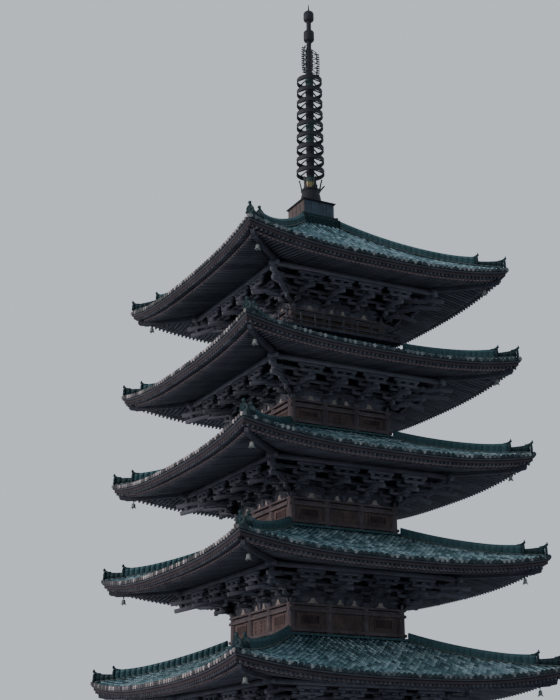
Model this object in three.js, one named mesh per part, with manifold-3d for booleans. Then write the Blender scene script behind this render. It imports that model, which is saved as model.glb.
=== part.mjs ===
// A five-storey timber pagoda with curved tiled roofs and a bronze spire, as a scale model at 1:2.
// Millimetres at model size, +Z up, front towards -Y. The origin is on the centre axis,
// at the underside of the stone platform.
import * as THREE from 'three';
import { mergeVertices } from 'three/addons/utils/BufferGeometryUtils.js';
import Module from 'manifold-3d';

const wasm = await Module();
wasm.setup();

// Driving dimensions of the storeys, from the ground up
const eaveHeights = [3450, 6075, 8635, 11140, 13600]; // middle of each eave, at the tile edge
const eaveHalves = [4325, 4190, 4050, 3910, 3775]; // from the axis to the tile edge
const bodyHalves = [1600, 1525, 1450, 1375, 1300]; // from the axis to the column line
const topStorey = 4;

// Roofs
const cornerLift = 350; // how far an eave's corner stands above its middle
const liftPower = 2.7; // how late along the eave the rise comes
const roofSlope = 0.4; // rise over run of the four lower roofs
const topRoofRise = 2125; // from the top eave to the foot of the spire
const topRoofInner = 550; // half-side of the hole under the spire
const roofHollow = { lower: 0.2, top: 0.32 }; // how much a roof sags between eave and head
const tileTop = 65; // tile crests above the roof line
const tileUnder = 25; // underside of the tile bed at the eave, below the roof line
const tileBedExtra = 60; // further thickness of the bed at its head
const alongSteps = 6;
const acrossSteps = 4;

// Eaves: rafters and boards, seen from below
const purlinOut = 1025; // outer purlin from the column line
const rafterInner = 225; // inner edge of the rafters, inside the column line
const rafterRise = 250; // underside of the rafters at their inner edge, above the eave
const raftersDrop = { lower: 225, upper: 205 }; // undersides at the tips, below the eave line
const boardsAbove = { head: 120, purlin: 130, lower: 190, upper: 180 }; // top of the slab over those
const kioiIn = 325; // end of the lower rafters, in from the tile edge
const tipIn = 90; // end of the upper rafters, in from the tile edge
const hipRafter = { halfWidth: 55, drop: 100, end: 190, overlap: 30 }; // its end is in from the edge
const bracketHeight = 750; // from the column heads to the eave line
const purlin = { width: 100, height: 110, gap: 12 };
const bracketWall = 60; // half thickness of the beams over the columns
const armWidth = 90;
// Outline of an arm, as [out from the columns, up from their heads]: three steps, then the tail
// rafter, whose tip hangs under the outer purlin
const armSteps = [[110, 0], [380, 120], [420, 220], [700, 260]];
const tailTip = { out: 1160, low: 190, high: 290 };

// Ridges
const mainRidge = { halfWidth: 85, height: 195, endHeight: 250, horn: 320, end: 0.81 };
const lowRidge = { halfWidth: 70, height: 115, endHeight: 195, horn: 250, end: 0.975 };
const endTile = { halfWidth: 115, thickness: 45, above: 10 }; // the ogre tile at a ridge's end
const horn = { halfWidth: 35, reach: 125, tip: 45, back: 110, sunk: 10 };
const ridgeOverlap = 60; // of the low ridge under the main one
const wallRing = { width: 120, height: 30 }; // courses where a lower roof meets the next storey
const boxCourses = { outer: 610, inner: 500 }; // courses that carry the spire's square box

// Bodies
const columnRadius = [140, 100, 100, 100, 100];
const columnSides = [8, 6, 6, 6, 6];
const panelHalf = 30;
const tie = { half: 82, height: 110 }; // beams across the first storey's walls
const headTies = { first: { half: 162, height: 60 }, upper: { half: 122, height: 50 } };
const lap = 10; // how far pieces that are one with each other overlap
const seat = 0.3; // gap between pieces that rest on each other

// Platform and steps
const platform = { half: 2600, height: 600, ledge: 45, slab: 90 };
const steps = { count: 5, tread: 150, width: 1100, cheek: 110 };
const cheekFoot = { out: 60, high: 90 }; // of the slabs beside the steps

// Top veranda
const veranda = { half: 1725, top: 12285, thickness: 45 };
const railHalf = 1650;
const railTops = [12345, 12450, 12675];
const railSize = 44;
const railOverhang = 130;

// Spire: heights above the top of the square box
const spireFoot = 16500;
const spireTop = 6500;
const pillar = { radius: 150, spireRadius: 54, shoulder: 150, taper: 60 }; // shoulder below the box
const bore = pillar.spireRadius + 8; // inside the castings that are threaded on the pillar
const tubeRadius = 118;
const ringCount = 9;
const ringStart = 1040;
const ringPitch = 361;
const ringRadii = [396, 362]; // lowest and highest ring
const hoop = { thickness: 34, halfHeight: 60 };
const spoke = { count: 8, halfWidth: 12, halfHeight: 15 };
const ringsFoot = ringStart - ringPitch / 2;
const ringsTop = ringsFoot + ringCount * ringPitch;
const carFoot = 5150;
const carTop = 5640;
const jewelFoot = 5890;
const jewelTop = 6225;
const barrelRadius = 160;
const neckRadius = 62; // between the barrels
const bowlTop = 430;
const finReaches = [350, 250, 250, 320]; // of the flames at the right, back, left and front
const petals = { count: 6, turn: 27.5, halfWidth: 30 }; // turn in degrees
const dewBox = { half: 470, plate: 510, base: 560, height: 500, wall: 40 };
const dewBoxEnds = { plate: 50, base: 60 }; // heights of its top plate and of its base

// Wind bells
const bellIn = 480; // from the tile edge's corner
const bell = { wall: 8, eyeHole: 5.7, pin: 5, drop: 48 };
const cheek = { half: 9, middle: 15, halfThickness: 3 }; // of the staple that holds the pin
// The square bell as [half-side, height under its pin], from its crown to the tips of its mouth
const bellOutline = [[14, -26], [38, -44], [43, -110], [64, -170]];

const materials = {
  stone: new THREE.MeshStandardMaterial({ color: 0x8f8c86, roughness: 0.95, metalness: 0 }),
  timber: new THREE.MeshStandardMaterial({ color: 0x2b2320, roughness: 0.85, metalness: 0 }),
  rafters: new THREE.MeshStandardMaterial({ color: 0x3a2f29, roughness: 0.85, metalness: 0 }),
  tile: new THREE.MeshStandardMaterial({ color: 0x4b5f68, roughness: 0.6, metalness: 0 }),
  ridge: new THREE.MeshStandardMaterial({ color: 0x3f5457, roughness: 0.6, metalness: 0 }),
  door: new THREE.MeshStandardMaterial({ color: 0x4a3527, roughness: 0.8, metalness: 0 }),
  bronze: new THREE.MeshStandardMaterial({ color: 0x2f3a37, roughness: 0.55, metalness: 0.8 }),
  copper: new THREE.MeshStandardMaterial({ color: 0x4a6069, roughness: 0.5, metalness: 0.6 }),
  bell: new THREE.MeshStandardMaterial({ color: 0x9aa79a, roughness: 0.6, metalness: 0.7 }),
};

const pagoda = new THREE.Group();
const quarters = [0, 1, 2, 3];

// Joining and cutting

function solid(geometry) {
  const plain = geometry.clone();
  plain.deleteAttribute('normal');
  plain.deleteAttribute('uv');
  const merged = mergeVertices(plain, 1e-3);
  return new wasm.Manifold(
    new wasm.Mesh({
      numProp: 3,
      vertProperties: new Float32Array(merged.attributes.position.array),
      triVerts: new Uint32Array(merged.index.array),
    }),
  );
}

function join(geometries) {
  return geometries.map(solid).reduce((whole, next) => whole.add(next));
}

function cut(whole, geometries) {
  return geometries.map(solid).reduce((rest, next) => rest.subtract(next), whole);
}

function geometryOf(whole) {
  const mesh = whole.getMesh();
  const geometry = new THREE.BufferGeometry();
  geometry.setAttribute('position', new THREE.BufferAttribute(mesh.vertProperties, 3));
  geometry.setIndex(new THREE.BufferAttribute(mesh.triVerts, 1));
  geometry.computeVertexNormals();
  return geometry;
}

function addPiece(name, geometry, material) {
  const piece = new THREE.Mesh(geometry, material);
  piece.name = name;
  pagoda.add(piece);
  return piece;
}

// Plain shapes

function block(low, high) {
  const size = high.map((value, axis) => value - low[axis]);
  const middle = high.map((value, axis) => (value + low[axis]) / 2);
  return new THREE.BoxGeometry(...size).translate(...middle);
}

function squareBlock(half, bottom, top) {
  return block([-half, -half, bottom], [half, half, top]);
}

function squareRing(outer, inner, bottom, top) {
  const outline = new THREE.Shape([
    new THREE.Vector2(-outer, -outer),
    new THREE.Vector2(outer, -outer),
    new THREE.Vector2(outer, outer),
    new THREE.Vector2(-outer, outer),
  ]);
  outline.holes.push(
    new THREE.Path([
      new THREE.Vector2(-inner, -inner),
      new THREE.Vector2(-inner, inner),
      new THREE.Vector2(inner, inner),
      new THREE.Vector2(inner, -inner),
    ]),
  );
  const settings = { depth: top - bottom, bevelEnabled: false };
  return new THREE.ExtrudeGeometry(outline, settings).translate(0, 0, bottom);
}

function post(x, y, radius, bottom, top, sides) {
  return new THREE.CylinderGeometry(radius, radius, top - bottom, sides)
    .rotateX(Math.PI / 2)
    .translate(x, y, (bottom + top) / 2);
}

// A turned shape from [radius, height] points
function turned(points, sides) {
  const profile = points.map(([radius, height]) => new THREE.Vector2(radius, height));
  return new THREE.LatheGeometry(profile, sides).rotateX(Math.PI / 2);
}

// A plate in a vertical plane through the axis: [distance, height] points, given a thickness,
// and turned to a heading
function uprightPlate(points, thickness, heading, middle = [0, 0]) {
  const outline = new THREE.Shape(points.map(([out, up]) => new THREE.Vector2(out, up)));
  return new THREE.ExtrudeGeometry(outline, { depth: thickness, bevelEnabled: false })
    .translate(0, 0, -thickness / 2)
    .rotateX(Math.PI / 2)
    .rotateZ(heading)
    .translate(middle[0], middle[1], 0);
}

// A square ring whose top and underside follow heights given for a distance from the axis
// and a share of the way along the side
function curvedRing(distances, top, under) {
  const shares = [];
  for (let j = 0; j <= alongSteps; j += 1) {
    shares.push(Math.sin((Math.PI / 2) * ((2 * j) / alongSteps - 1)));
  }
  const last = distances.length - 1;
  const corners = [];
  const face = (a, b, c, d) => corners.push(a, b, c, a, c, d);
  for (const quarter of quarters) {
    const [cos, sin] = [[1, 0], [0, 1], [-1, 0], [0, -1]][quarter];
    const at = (j, k, height) => {
      const x = shares[j] * distances[k];
      const y = -distances[k];
      return [x * cos - y * sin, x * sin + y * cos, height(distances[k], Math.abs(shares[j]))];
    };
    for (let j = 0; j < alongSteps; j += 1) {
      for (let k = 0; k < last; k += 1) {
        face(at(j, k, top), at(j, k + 1, top), at(j + 1, k + 1, top), at(j + 1, k, top));
        face(at(j, k, under), at(j + 1, k, under), at(j + 1, k + 1, under), at(j, k + 1, under));
      }
      face(at(j, last, top), at(j, last, under), at(j + 1, last, under), at(j + 1, last, top));
      face(at(j, 0, top), at(j + 1, 0, top), at(j + 1, 0, under), at(j, 0, under));
    }
  }
  const geometry = new THREE.BufferGeometry();
  geometry.setAttribute('position', new THREE.Float32BufferAttribute(corners.flat(), 3));
  return geometry;
}

// Heights that the pieces of a roof share

function cornerRise(share) {
  return cornerLift * share ** liftPower;
}

function roofInner(storey) {
  if (storey === topStorey) return topRoofInner;
  return bodyHalves[storey + 1] + columnRadius[storey + 1] + seat;
}

function roofRise(storey) {
  if (storey === topStorey) return topRoofRise;
  return roofSlope * (eaveHalves[storey] - roofInner(storey));
}

function roofLine(storey, distance, share) {
  const inner = roofInner(storey);
  const run = (distance - inner) / (eaveHalves[storey] - inner);
  const hollow = storey === topStorey ? roofHollow.top : roofHollow.lower;
  const fall = run * (1 + hollow) - hollow * run * run;
  const lift = cornerRise(share) * Math.max(run, 0) ** 2;
  return eaveHeights[storey] + roofRise(storey) * (1 - fall) + lift;
}

function between(value, [fromValue, fromResult], [toValue, toResult]) {
  const share = (value - fromValue) / (toValue - fromValue);
  return fromResult + share * (toResult - fromResult);
}

// A height along straight stretches between [distance, height] points
function alongLine(points, distance) {
  const next = points.findIndex(([edge]) => edge >= distance);
  if (next === -1) return points.at(-1)[1];
  return next === 0 ? points[0][1] : between(distance, points[next - 1], points[next]);
}

function eaveLift(storey, distance, share) {
  const out = (distance - bodyHalves[storey]) / (eaveHalves[storey] - bodyHalves[storey]);
  return cornerRise(share) * Math.max(out, 0) ** 2;
}

// Underside and top of the rafters, from the body to their tips, before the corner lift
function rafterLines(storey) {
  const inner = bodyHalves[storey] - rafterInner;
  const outer = bodyHalves[storey] + purlinOut;
  const edge = eaveHalves[storey];
  const eave = eaveHeights[storey];
  const under = [
    [inner, eave + rafterRise],
    [outer, eave],
    [edge - kioiIn, eave - raftersDrop.lower],
    [edge - tipIn, eave - raftersDrop.upper],
  ];
  const slab = [boardsAbove.head, boardsAbove.purlin, boardsAbove.lower, boardsAbove.upper];
  return {
    under,
    top: under.map(([distance, height], k) => [distance, height + slab[k]]),
  };
}

function rafterUnder(storey, distance, share) {
  return alongLine(rafterLines(storey).under, distance) + eaveLift(storey, distance, share);
}

// Roofs

// Distances from the axis at which the tile shell has its edges; the last but one lies over
// the rafter tips, which carry it there
function tileKnots(storey) {
  const inner = roofInner(storey);
  const overTips = eaveHalves[storey] - tipIn;
  const knots = [];
  for (let k = 0; k <= acrossSteps; k += 1) {
    knots.push(inner + ((overTips - inner) * k) / acrossSteps);
  }
  return [...knots, eaveHalves[storey]];
}

function tileUnderside(storey, distance, share) {
  const edge = eaveHalves[storey];
  const head = (edge - distance) / (edge - roofInner(storey));
  return roofLine(storey, distance, share) - tileUnder - tileBedExtra * head;
}

function tileField(storey) {
  const top = (distance, share) => roofLine(storey, distance, share) + tileTop;
  const under = (distance, share) => tileUnderside(storey, distance, share);
  return curvedRing(tileKnots(storey), top, under);
}

// A bar in the vertical plane of a hip, its underside on one height and its top on another
function hipBar(quarter, distances, halfWidth, under, top) {
  const lower = distances.map((distance) => [distance * Math.SQRT2, under(distance)]);
  const upper = distances.map((distance) => [distance * Math.SQRT2, top(distance)]);
  const heading = (quarter + 0.5) * (Math.PI / 2);
  return uprightPlate([...lower, ...upper.reverse()], 2 * halfWidth, heading);
}

// A ridge over a hip: its crest rises towards its end, which an ogre tile closes, and above the
// tile a horn sweeps up
function ridgeParts(quarter, distances, surface, sizes) {
  const heading = (quarter + 0.5) * (Math.PI / 2);
  const last = distances.length - 1;
  const lower = distances.map((distance) => [distance * Math.SQRT2, surface(distance)]);
  const crest = (k) => (k === last ? sizes.endHeight : sizes.height);
  const upper = lower.map(([out, foot], k) => [out, foot + crest(k)]);
  const [end, foot] = lower.at(-1);
  const top = foot + sizes.endHeight;
  const tile = [
    [end - 1, foot],
    [end + endTile.thickness, foot],
    [end + endTile.thickness, top + endTile.above],
    [end - 1, top + endTile.above],
  ];
  const hornOutline = [
    [end - horn.back, top - horn.sunk],
    [end + endTile.thickness / 2, top - horn.sunk],
    [end + horn.reach, foot + sizes.horn],
    [end + horn.reach - horn.tip, foot + sizes.horn],
    [end - horn.back / 4, top + horn.sunk],
  ];
  return [
    uprightPlate([...lower, ...upper.reverse()], 2 * sizes.halfWidth, heading),
    uprightPlate(tile, 2 * endTile.halfWidth, heading),
    uprightPlate(hornOutline, 2 * horn.halfWidth, heading),
  ];
}

function hipRidges(storey) {
  const inner = roofInner(storey);
  const edge = eaveHalves[storey];
  const hip = tileKnots(storey).map((knot) => [knot, roofLine(storey, knot, 1) + tileTop + seat]);
  const surface = (distance) => alongLine(hip, distance);
  const mainEnd = inner + mainRidge.end * (edge - inner);
  const underVeranda = storey === topStorey - 1;
  const mainStart = underVeranda ? veranda.half + 12 : inner + 2;
  const bends = tileKnots(storey).filter((knot) => knot > mainStart && knot < mainEnd);
  const ringBottom = surface(inner);
  const ringTop = ringBottom + wallRing.height;
  const boxFoot = spireFoot - dewBox.height - seat;
  const courses =
    storey === topStorey
      ? squareRing(boxCourses.outer, boxCourses.inner, ringBottom, boxFoot)
      : squareRing(inner + wallRing.width, inner, ringBottom, ringTop);
  const parts = [courses];
  for (const quarter of quarters) {
    const lowRun = [mainEnd - ridgeOverlap, lowRidge.end * edge];
    parts.push(
      ...ridgeParts(quarter, [mainStart, ...bends, mainEnd], surface, mainRidge),
      ...ridgeParts(quarter, lowRun, surface, lowRidge),
    );
    if (underVeranda) {
      const foot = [inner + 2, mainStart + 40];
      parts.push(hipBar(quarter, foot, mainRidge.halfWidth, surface, () => ringTop));
    }
  }
  return join(parts);
}

function bellPlace(storey, quarter) {
  const distance = eaveHalves[storey] - bellIn;
  const heading = (quarter + 0.5) * (Math.PI / 2);
  const out = distance * Math.SQRT2;
  return {
    heading,
    x: out * Math.cos(heading),
    y: out * Math.sin(heading),
    roof: rafterUnder(storey, distance, 1) - hipRafter.drop,
  };
}

// The quarters are the corners from right-back round to front-right
const frontCorner = 2;
const leftCorner = 1;
const hungBells = [
  { name: 'top_roof_front_bell', storey: 4, quarter: frontCorner },
  { name: 'top_roof_left_bell', storey: 4, quarter: leftCorner },
  { name: 'fourth_roof_front_bell', storey: 3, quarter: frontCorner },
];
const missingBell = { storey: 3, quarter: leftCorner };

function sameCorner(a, storey, quarter) {
  return a.storey === storey && a.quarter === quarter;
}

// Two cheeks and a pin, from which a bell hangs
function bellHanger(place) {
  const pinHeight = place.roof - bell.drop;
  const { half, middle, halfThickness } = cheek;
  const plate = (side) =>
    block(
      [-half, side * middle - halfThickness, pinHeight - half],
      [half, side * middle + halfThickness, place.roof + 2 * lap],
    );
  const pin = new THREE.CylinderGeometry(bell.pin, bell.pin, 32, 8).translate(0, 0, pinHeight);
  return [plate(-1), plate(1), pin].map((part) =>
    part.rotateZ(place.heading).translate(place.x, place.y, 0),
  );
}

// A square shape around the axis from [half-side, height] points, its sides along x and y
function squareTurned(points) {
  const corners = points.map(([half, height]) => [half * Math.SQRT2, height]);
  return turned(corners, 4).rotateZ(Math.PI / 4);
}

// A bell that is one with its hook
function stillBell(place) {
  const outline = bellOutline.map(([half, height]) => [half, height - bell.drop]).reverse();
  const mouth = outline[0][1];
  const hook = [[7, mouth + 150], [7, hipRafter.overlap], [0, hipRafter.overlap]];
  return squareTurned([[0, mouth], ...outline, ...hook])
    .rotateZ(place.heading)
    .translate(place.x, place.y, place.roof);
}

function eavesOf(storey) {
  const lines = rafterLines(storey);
  const distances = lines.under.map(([distance]) => distance);
  const edge = eaveHalves[storey];
  const top = (distance, share) =>
    distance === edge - tipIn
      ? tileUnderside(storey, distance, share) - seat
      : alongLine(lines.top, distance) + eaveLift(storey, distance, share);
  const under = (distance, share) => rafterUnder(storey, distance, share);
  const parts = [curvedRing(distances, top, under)];
  const purlinEdge = bodyHalves[storey] + purlinOut + purlin.width;
  for (const quarter of quarters) {
    const hip = (distance) => under(Math.min(distance, edge - tipIn), 1);
    parts.push(
      hipBar(
        quarter,
        [purlinEdge, edge - kioiIn, edge - hipRafter.end],
        hipRafter.halfWidth,
        (distance) => hip(distance) - hipRafter.drop,
        (distance) => hip(distance) + hipRafter.overlap,
      ),
    );
    const place = bellPlace(storey, quarter);
    if (hungBells.some((hung) => sameCorner(hung, storey, quarter))) {
      parts.push(...bellHanger(place));
    } else if (!sameCorner(missingBell, storey, quarter)) {
      parts.push(stillBell(place));
    }
  }
  return join(parts);
}

// Brackets: a ring of beams on the column heads, stepped arms and the outer purlin

function bracketArm(base, stretch, heading, middle) {
  const outer = purlinOut + purlin.width / 2;
  const top = bracketHeight - purlin.gap - purlin.height + lap;
  const outline = [
    [-bracketWall + lap, 0],
    ...armSteps,
    [tailTip.out, tailTip.low],
    [tailTip.out, tailTip.high],
    [outer, tailTip.high + 2 * lap],
    [outer, top],
    [-bracketWall + lap, top],
  ];
  const placed = outline.map(([distance, up]) => [distance * stretch, base + up]);
  return uprightPlate(placed, armWidth, heading, middle);
}

function bracketsOf(storey) {
  const base = eaveHeights[storey] - bracketHeight + seat;
  const body = bodyHalves[storey];
  const purlinAt = body + purlinOut;
  const purlinTop = eaveHeights[storey] - purlin.gap;
  const ringTop = rafterUnder(storey, body + bracketWall, 0) - seat;
  const parts = [
    squareRing(body + bracketWall, body - bracketWall, base, ringTop),
    squareRing(
      purlinAt + purlin.width / 2,
      purlinAt - purlin.width / 2,
      purlinTop - purlin.height,
      purlinTop,
    ),
  ];
  for (const quarter of quarters) {
    const heading = quarter * (Math.PI / 2);
    for (const side of [-1, 1]) {
      const middle = new THREE.Vector2(body, (side * body) / 3);
      middle.rotateAround(new THREE.Vector2(), heading);
      parts.push(bracketArm(base, 1, heading, [middle.x, middle.y]));
    }
    const corner = new THREE.Vector2(body, body).rotateAround(new THREE.Vector2(), heading);
    parts.push(bracketArm(base, Math.SQRT2, heading + Math.PI / 4, [corner.x, corner.y]));
  }
  return join(parts);
}

// Bodies: columns, tie beams and plank walls with their openings

function storeyBody(storey, floor, ties, openings) {
  const body = bodyHalves[storey];
  const top = eaveHeights[storey] - bracketHeight;
  const radius = columnRadius[storey];
  const parts = [squareRing(body + panelHalf, body - panelHalf, floor + 1, top - 1)];
  for (const [low, high, half] of ties) {
    parts.push(squareRing(body + half, body - half, low, high));
  }
  for (const quarter of quarters) {
    for (const along of [-1, -1 / 3, 1 / 3]) {
      const place = new THREE.Vector2(along * body, -body);
      place.rotateAround(new THREE.Vector2(), (quarter * Math.PI) / 2);
      parts.push(post(place.x, place.y, radius, floor, top, columnSides[storey]));
    }
  }
  const cuts = [];
  for (const quarter of quarters) {
    for (const [left, right, low, high] of openings) {
      const hole = block([left, -body - 80, low], [right, -body + 80, high]);
      cuts.push(hole.rotateZ((quarter * Math.PI) / 2));
    }
  }
  return cut(join(parts), cuts);
}

// First storey openings, as [left, right, low, high] on each side
const bayHalf = bodyHalves[0] / 3;
const door = { panel: 18, face: 30, meeting: 6 };
const doorway = { half: 340, low: platform.height + 170, high: platform.height + 1400 };
const window = { half: 270, low: platform.height + 620, high: platform.height + 1320 };

function firstOpenings() {
  return [
    [-doorway.half, doorway.half, doorway.low, doorway.high],
    [-2 * bayHalf - window.half, -2 * bayHalf + window.half, window.low, window.high],
    [2 * bayHalf - window.half, 2 * bayHalf + window.half, window.low, window.high],
  ];
}

// The columns of an upper storey stand on the rafters of the roof below
function sillHeight(storey) {
  const innerFace = bodyHalves[storey] - columnRadius[storey];
  return alongLine(rafterLines(storey - 1).top, innerFace) + seat;
}

// Stone platform and steps

function stonePlatform() {
  return join([
    squareBlock(platform.half + platform.ledge, 0, platform.slab),
    squareBlock(platform.half, platform.slab - 1, platform.height - platform.slab + 1),
    squareBlock(platform.half + platform.ledge, platform.height - platform.slab, platform.height),
  ]);
}

function stoneSteps() {
  const start = platform.half + platform.ledge + seat;
  const rise = platform.height / (steps.count + 1);
  const reach = steps.count * steps.tread;
  const outline = [[0, 0]];
  for (let k = 0; k < steps.count; k += 1) {
    outline.push([reach - k * steps.tread, k * rise], [reach - k * steps.tread, (k + 1) * rise]);
  }
  outline.push([0, steps.count * rise]);
  const profile = outline.map(([out, up]) => [start + out, up]);
  const cheekOutline = [
    [start, 0],
    [start + reach + cheekFoot.out, 0],
    [start + reach + cheekFoot.out, cheekFoot.high],
    [start, platform.height],
  ];
  const offset = steps.width / 2 + steps.cheek / 2 - 1;
  return join([
    uprightPlate(profile, steps.width, 0),
    uprightPlate(cheekOutline, steps.cheek, 0, [0, offset]),
    uprightPlate(cheekOutline, steps.cheek, 0, [0, -offset]),
  ]);
}

// A pair of plank doors in their frame, closed
function doorPair() {
  const wide = doorway.half - seat;
  const low = doorway.low + seat;
  const high = doorway.high - seat;
  const face = bodyHalves[0];
  return join([
    block([-wide, -face - door.panel, low], [wide, -face + door.panel, high]),
    block([-wide, -face - door.face, low], [-door.meeting, -face, high]),
    block([door.meeting, -face - door.face, low], [wide, -face, high]),
  ]);
}

// Top veranda and its balustrade

function balustrade() {
  const half = railSize / 2;
  const parts = railTops
    .slice(0, -1)
    .map((top) => squareRing(railHalf + half, railHalf - half, top - railSize, top));
  const reach = railHalf + railOverhang;
  const top = railTops.at(-1);
  for (const quarter of quarters) {
    const turn = (quarter * Math.PI) / 2;
    const rail = block([-reach, -railHalf - half, top - railSize], [reach, -railHalf + half, top]);
    parts.push(rail.rotateZ(turn));
    for (const along of [-1, 0]) {
      const middle = along * railHalf;
      const low = [middle - half + 4, -railHalf - half + 4, veranda.top + seat];
      const high = [middle + half - 4, -railHalf + half - 4, top - half];
      parts.push(block(low, high).rotateZ(turn));
    }
  }
  return join(parts);
}

// Spire

function centralPillar() {
  const shoulder = spireFoot - dewBox.height - pillar.shoulder;
  return turned(
    [
      [0, platform.height + seat],
      [pillar.radius, platform.height + seat],
      [pillar.radius, shoulder],
      [pillar.spireRadius, shoulder + pillar.taper],
      [pillar.spireRadius, spireFoot + carFoot],
      [0, spireFoot + carFoot],
    ],
    12,
  );
}

function dewBasin() {
  const bottom = spireFoot - dewBox.height;
  const whole = join([
    squareBlock(dewBox.base, bottom, bottom + dewBoxEnds.base),
    squareBlock(dewBox.half, bottom + dewBoxEnds.base - 1, spireFoot - dewBoxEnds.plate + 1),
    squareBlock(dewBox.plate, spireFoot - dewBoxEnds.plate, spireFoot),
  ]);
  const inside = dewBox.half - dewBox.wall;
  return cut(whole, [
    squareBlock(inside, bottom - 10, spireFoot - dewBox.wall),
    post(0, 0, bore, bottom, spireFoot + 10, 12),
  ]);
}

function bowl() {
  return turned(
    [
      [bore, seat],
      [305, seat],
      [300, 180],
      [260, 360],
      [245, bowlTop],
      [bore, bowlTop],
      [bore, seat],
    ],
    14,
  );
}

// A low cup round a sheath, with narrow petals that lean out from its rim
function lotus() {
  const cup = turned(
    [
      [bore, bowlTop + seat],
      [245, bowlTop + seat],
      [276, 480],
      [276, 505],
      [165, 505],
      [165, ringsFoot],
      [bore, ringsFoot],
      [bore, bowlTop + seat],
    ],
    16,
  );
  const outline = [[254, 495], [276, 495], [338, 820], [322, 820]];
  const stand = [];
  for (let k = 0; k < petals.count; k += 1) {
    const heading = ((petals.turn + (360 * k) / petals.count) * Math.PI) / 180;
    stand.push(uprightPlate(outline, 2 * petals.halfWidth, heading));
  }
  return join([cup, ...stand]);
}

function spireRing(radius) {
  const half = ringPitch / 2;
  const tube = turned(
    [
      [bore, -half + seat],
      [tubeRadius, -half + seat],
      [tubeRadius, half],
      [bore, half],
      [bore, -half + seat],
    ],
    8,
  ).rotateZ(Math.PI / 8);
  const { halfHeight } = hoop;
  const inner = radius - hoop.thickness;
  const band = turned(
    [
      [inner, -halfHeight],
      [radius, -halfHeight],
      [radius, halfHeight],
      [inner, halfHeight],
      [inner, -halfHeight],
    ],
    16,
  );
  const spokes = [];
  for (let k = 0; k < spoke.count; k += 1) {
    const low = [tubeRadius - 15, -spoke.halfWidth, -spoke.halfHeight];
    const high = [inner + hoop.thickness / 2, spoke.halfWidth, spoke.halfHeight];
    spokes.push(block(low, high).rotateZ(((k + 0.5) * 2 * Math.PI) / spoke.count));
  }
  return join([tube, band, ...spokes]);
}

function waterFlames() {
  const low = ringsTop;
  const high = carFoot;
  const tube = turned(
    [
      [bore, low + seat],
      [80, low + seat],
      [80, high],
      [bore, high],
      [bore, low + seat],
    ],
    12,
  );
  const fin = (reach, quarter) =>
    uprightPlate(
      [
        [70, low + 60],
        [0.6 * reach, low + 20],
        [reach, low + 60],
        [reach, high - 150],
        [0.8 * reach, high - 50],
        [70, high - 120],
      ],
      14,
      (quarter * Math.PI) / 2,
    );
  return join([tube, ...finReaches.map(fin)]);
}

// A barrel with flat sides and rounded shoulders, on a neck
function barrel(foot, low, high, neck) {
  return [
    [0, foot],
    [neck, foot],
    [neck, low],
    [barrelRadius - 15, low + 20],
    [barrelRadius, low + 70],
    [barrelRadius, high - 70],
    [barrelRadius - 15, high - 20],
    [neck, high],
  ];
}

function dragonCar() {
  const body = barrel(carFoot + seat, carFoot + 96, carTop, neckRadius);
  return turned([...body, [0, carTop]], 14);
}

function jewel() {
  const body = barrel(carTop + seat, jewelFoot, jewelTop, neckRadius);
  const cone = [[30, jewelTop + 10], [18, jewelTop + 90], [9, jewelTop + 130]];
  const needle = [...cone, [6, spireTop], [0, spireTop]];
  return turned([...body, ...needle], 14);
}

// A square bell with flared corners; each side of its mouth is cut to an arch
function hungBell() {
  const [crown] = bellOutline;
  const [mouthHalf, mouth] = bellOutline.at(-1);
  const inside = bellOutline
    .slice(1)
    .map(([half, height]) => [half - bell.wall, height === mouth ? mouth : height - bell.wall]);
  const shell = squareTurned([
    [0, crown[1] - bell.wall],
    ...inside,
    ...[...bellOutline].reverse(),
    [0, crown[1]],
  ]);
  const eye = block([-12, -7, crown[1] - 2], [12, 7, 12]);
  const hole = new THREE.CylinderGeometry(bell.eyeHole, bell.eyeHole, 40, 8).rotateY(Math.PI / 8);
  const clapper = turned([[0, -130], [14, -120], [14, -106], [4, -96], [4, -30], [0, -30]], 6);
  const arch = [[-44, mouth - 5], [44, mouth - 5], [26, mouth + 30], [0, mouth + 44], [-26, mouth + 30]];
  const arches = [0, Math.PI / 2].map((heading) => uprightPlate(arch, 3 * mouthHalf, heading));
  const cast = cut(solid(shell), arches);
  return cut(cast.add(join([eye, clapper])), [hole]);
}

// Assembly

addPiece('stone_platform', geometryOf(stonePlatform()), materials.stone);
const sideNames = ['front', 'right', 'back', 'left'];
sideNames.forEach((side, quarter) => {
  const flight = addPiece(`${side}_steps`, geometryOf(stoneSteps()), materials.stone);
  flight.rotation.z = ((quarter - 1) * Math.PI) / 2;
  const doors = addPiece(`${side}_doors`, geometryOf(doorPair()), materials.door);
  doors.rotation.z = (quarter * Math.PI) / 2;
});

const firstTop = eaveHeights[0] - bracketHeight;
const firstTies = [
  [platform.height + seat, doorway.low, tie.half],
  [doorway.high, doorway.high + tie.height, tie.half],
  [firstTop - headTies.first.height, firstTop, headTies.first.half],
];
addPiece(
  'first_storey_body',
  geometryOf(storeyBody(0, platform.height + seat, firstTies, firstOpenings())),
  materials.timber,
);

const storeyNames = ['first', 'second', 'third', 'fourth', 'fifth'];
storeyNames.forEach((name, storey) => {
  if (storey > 0) {
    const top = eaveHeights[storey] - bracketHeight;
    const floor = sillHeight(storey);
    const headTie = [top - headTies.upper.height, top, headTies.upper.half];
    const body = storeyBody(storey, floor, [headTie], []);
    addPiece(`${name}_storey_body`, geometryOf(body), materials.timber);
  }
  addPiece(`${name}_storey_brackets`, geometryOf(bracketsOf(storey)), materials.timber);
  addPiece(`${name}_roof_eaves`, geometryOf(eavesOf(storey)), materials.rafters);
  addPiece(`${name}_roof_tiles`, geometryOf(solid(tileField(storey))), materials.tile);
  addPiece(`${name}_roof_ridges`, geometryOf(hipRidges(storey)), materials.ridge);
});

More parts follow.
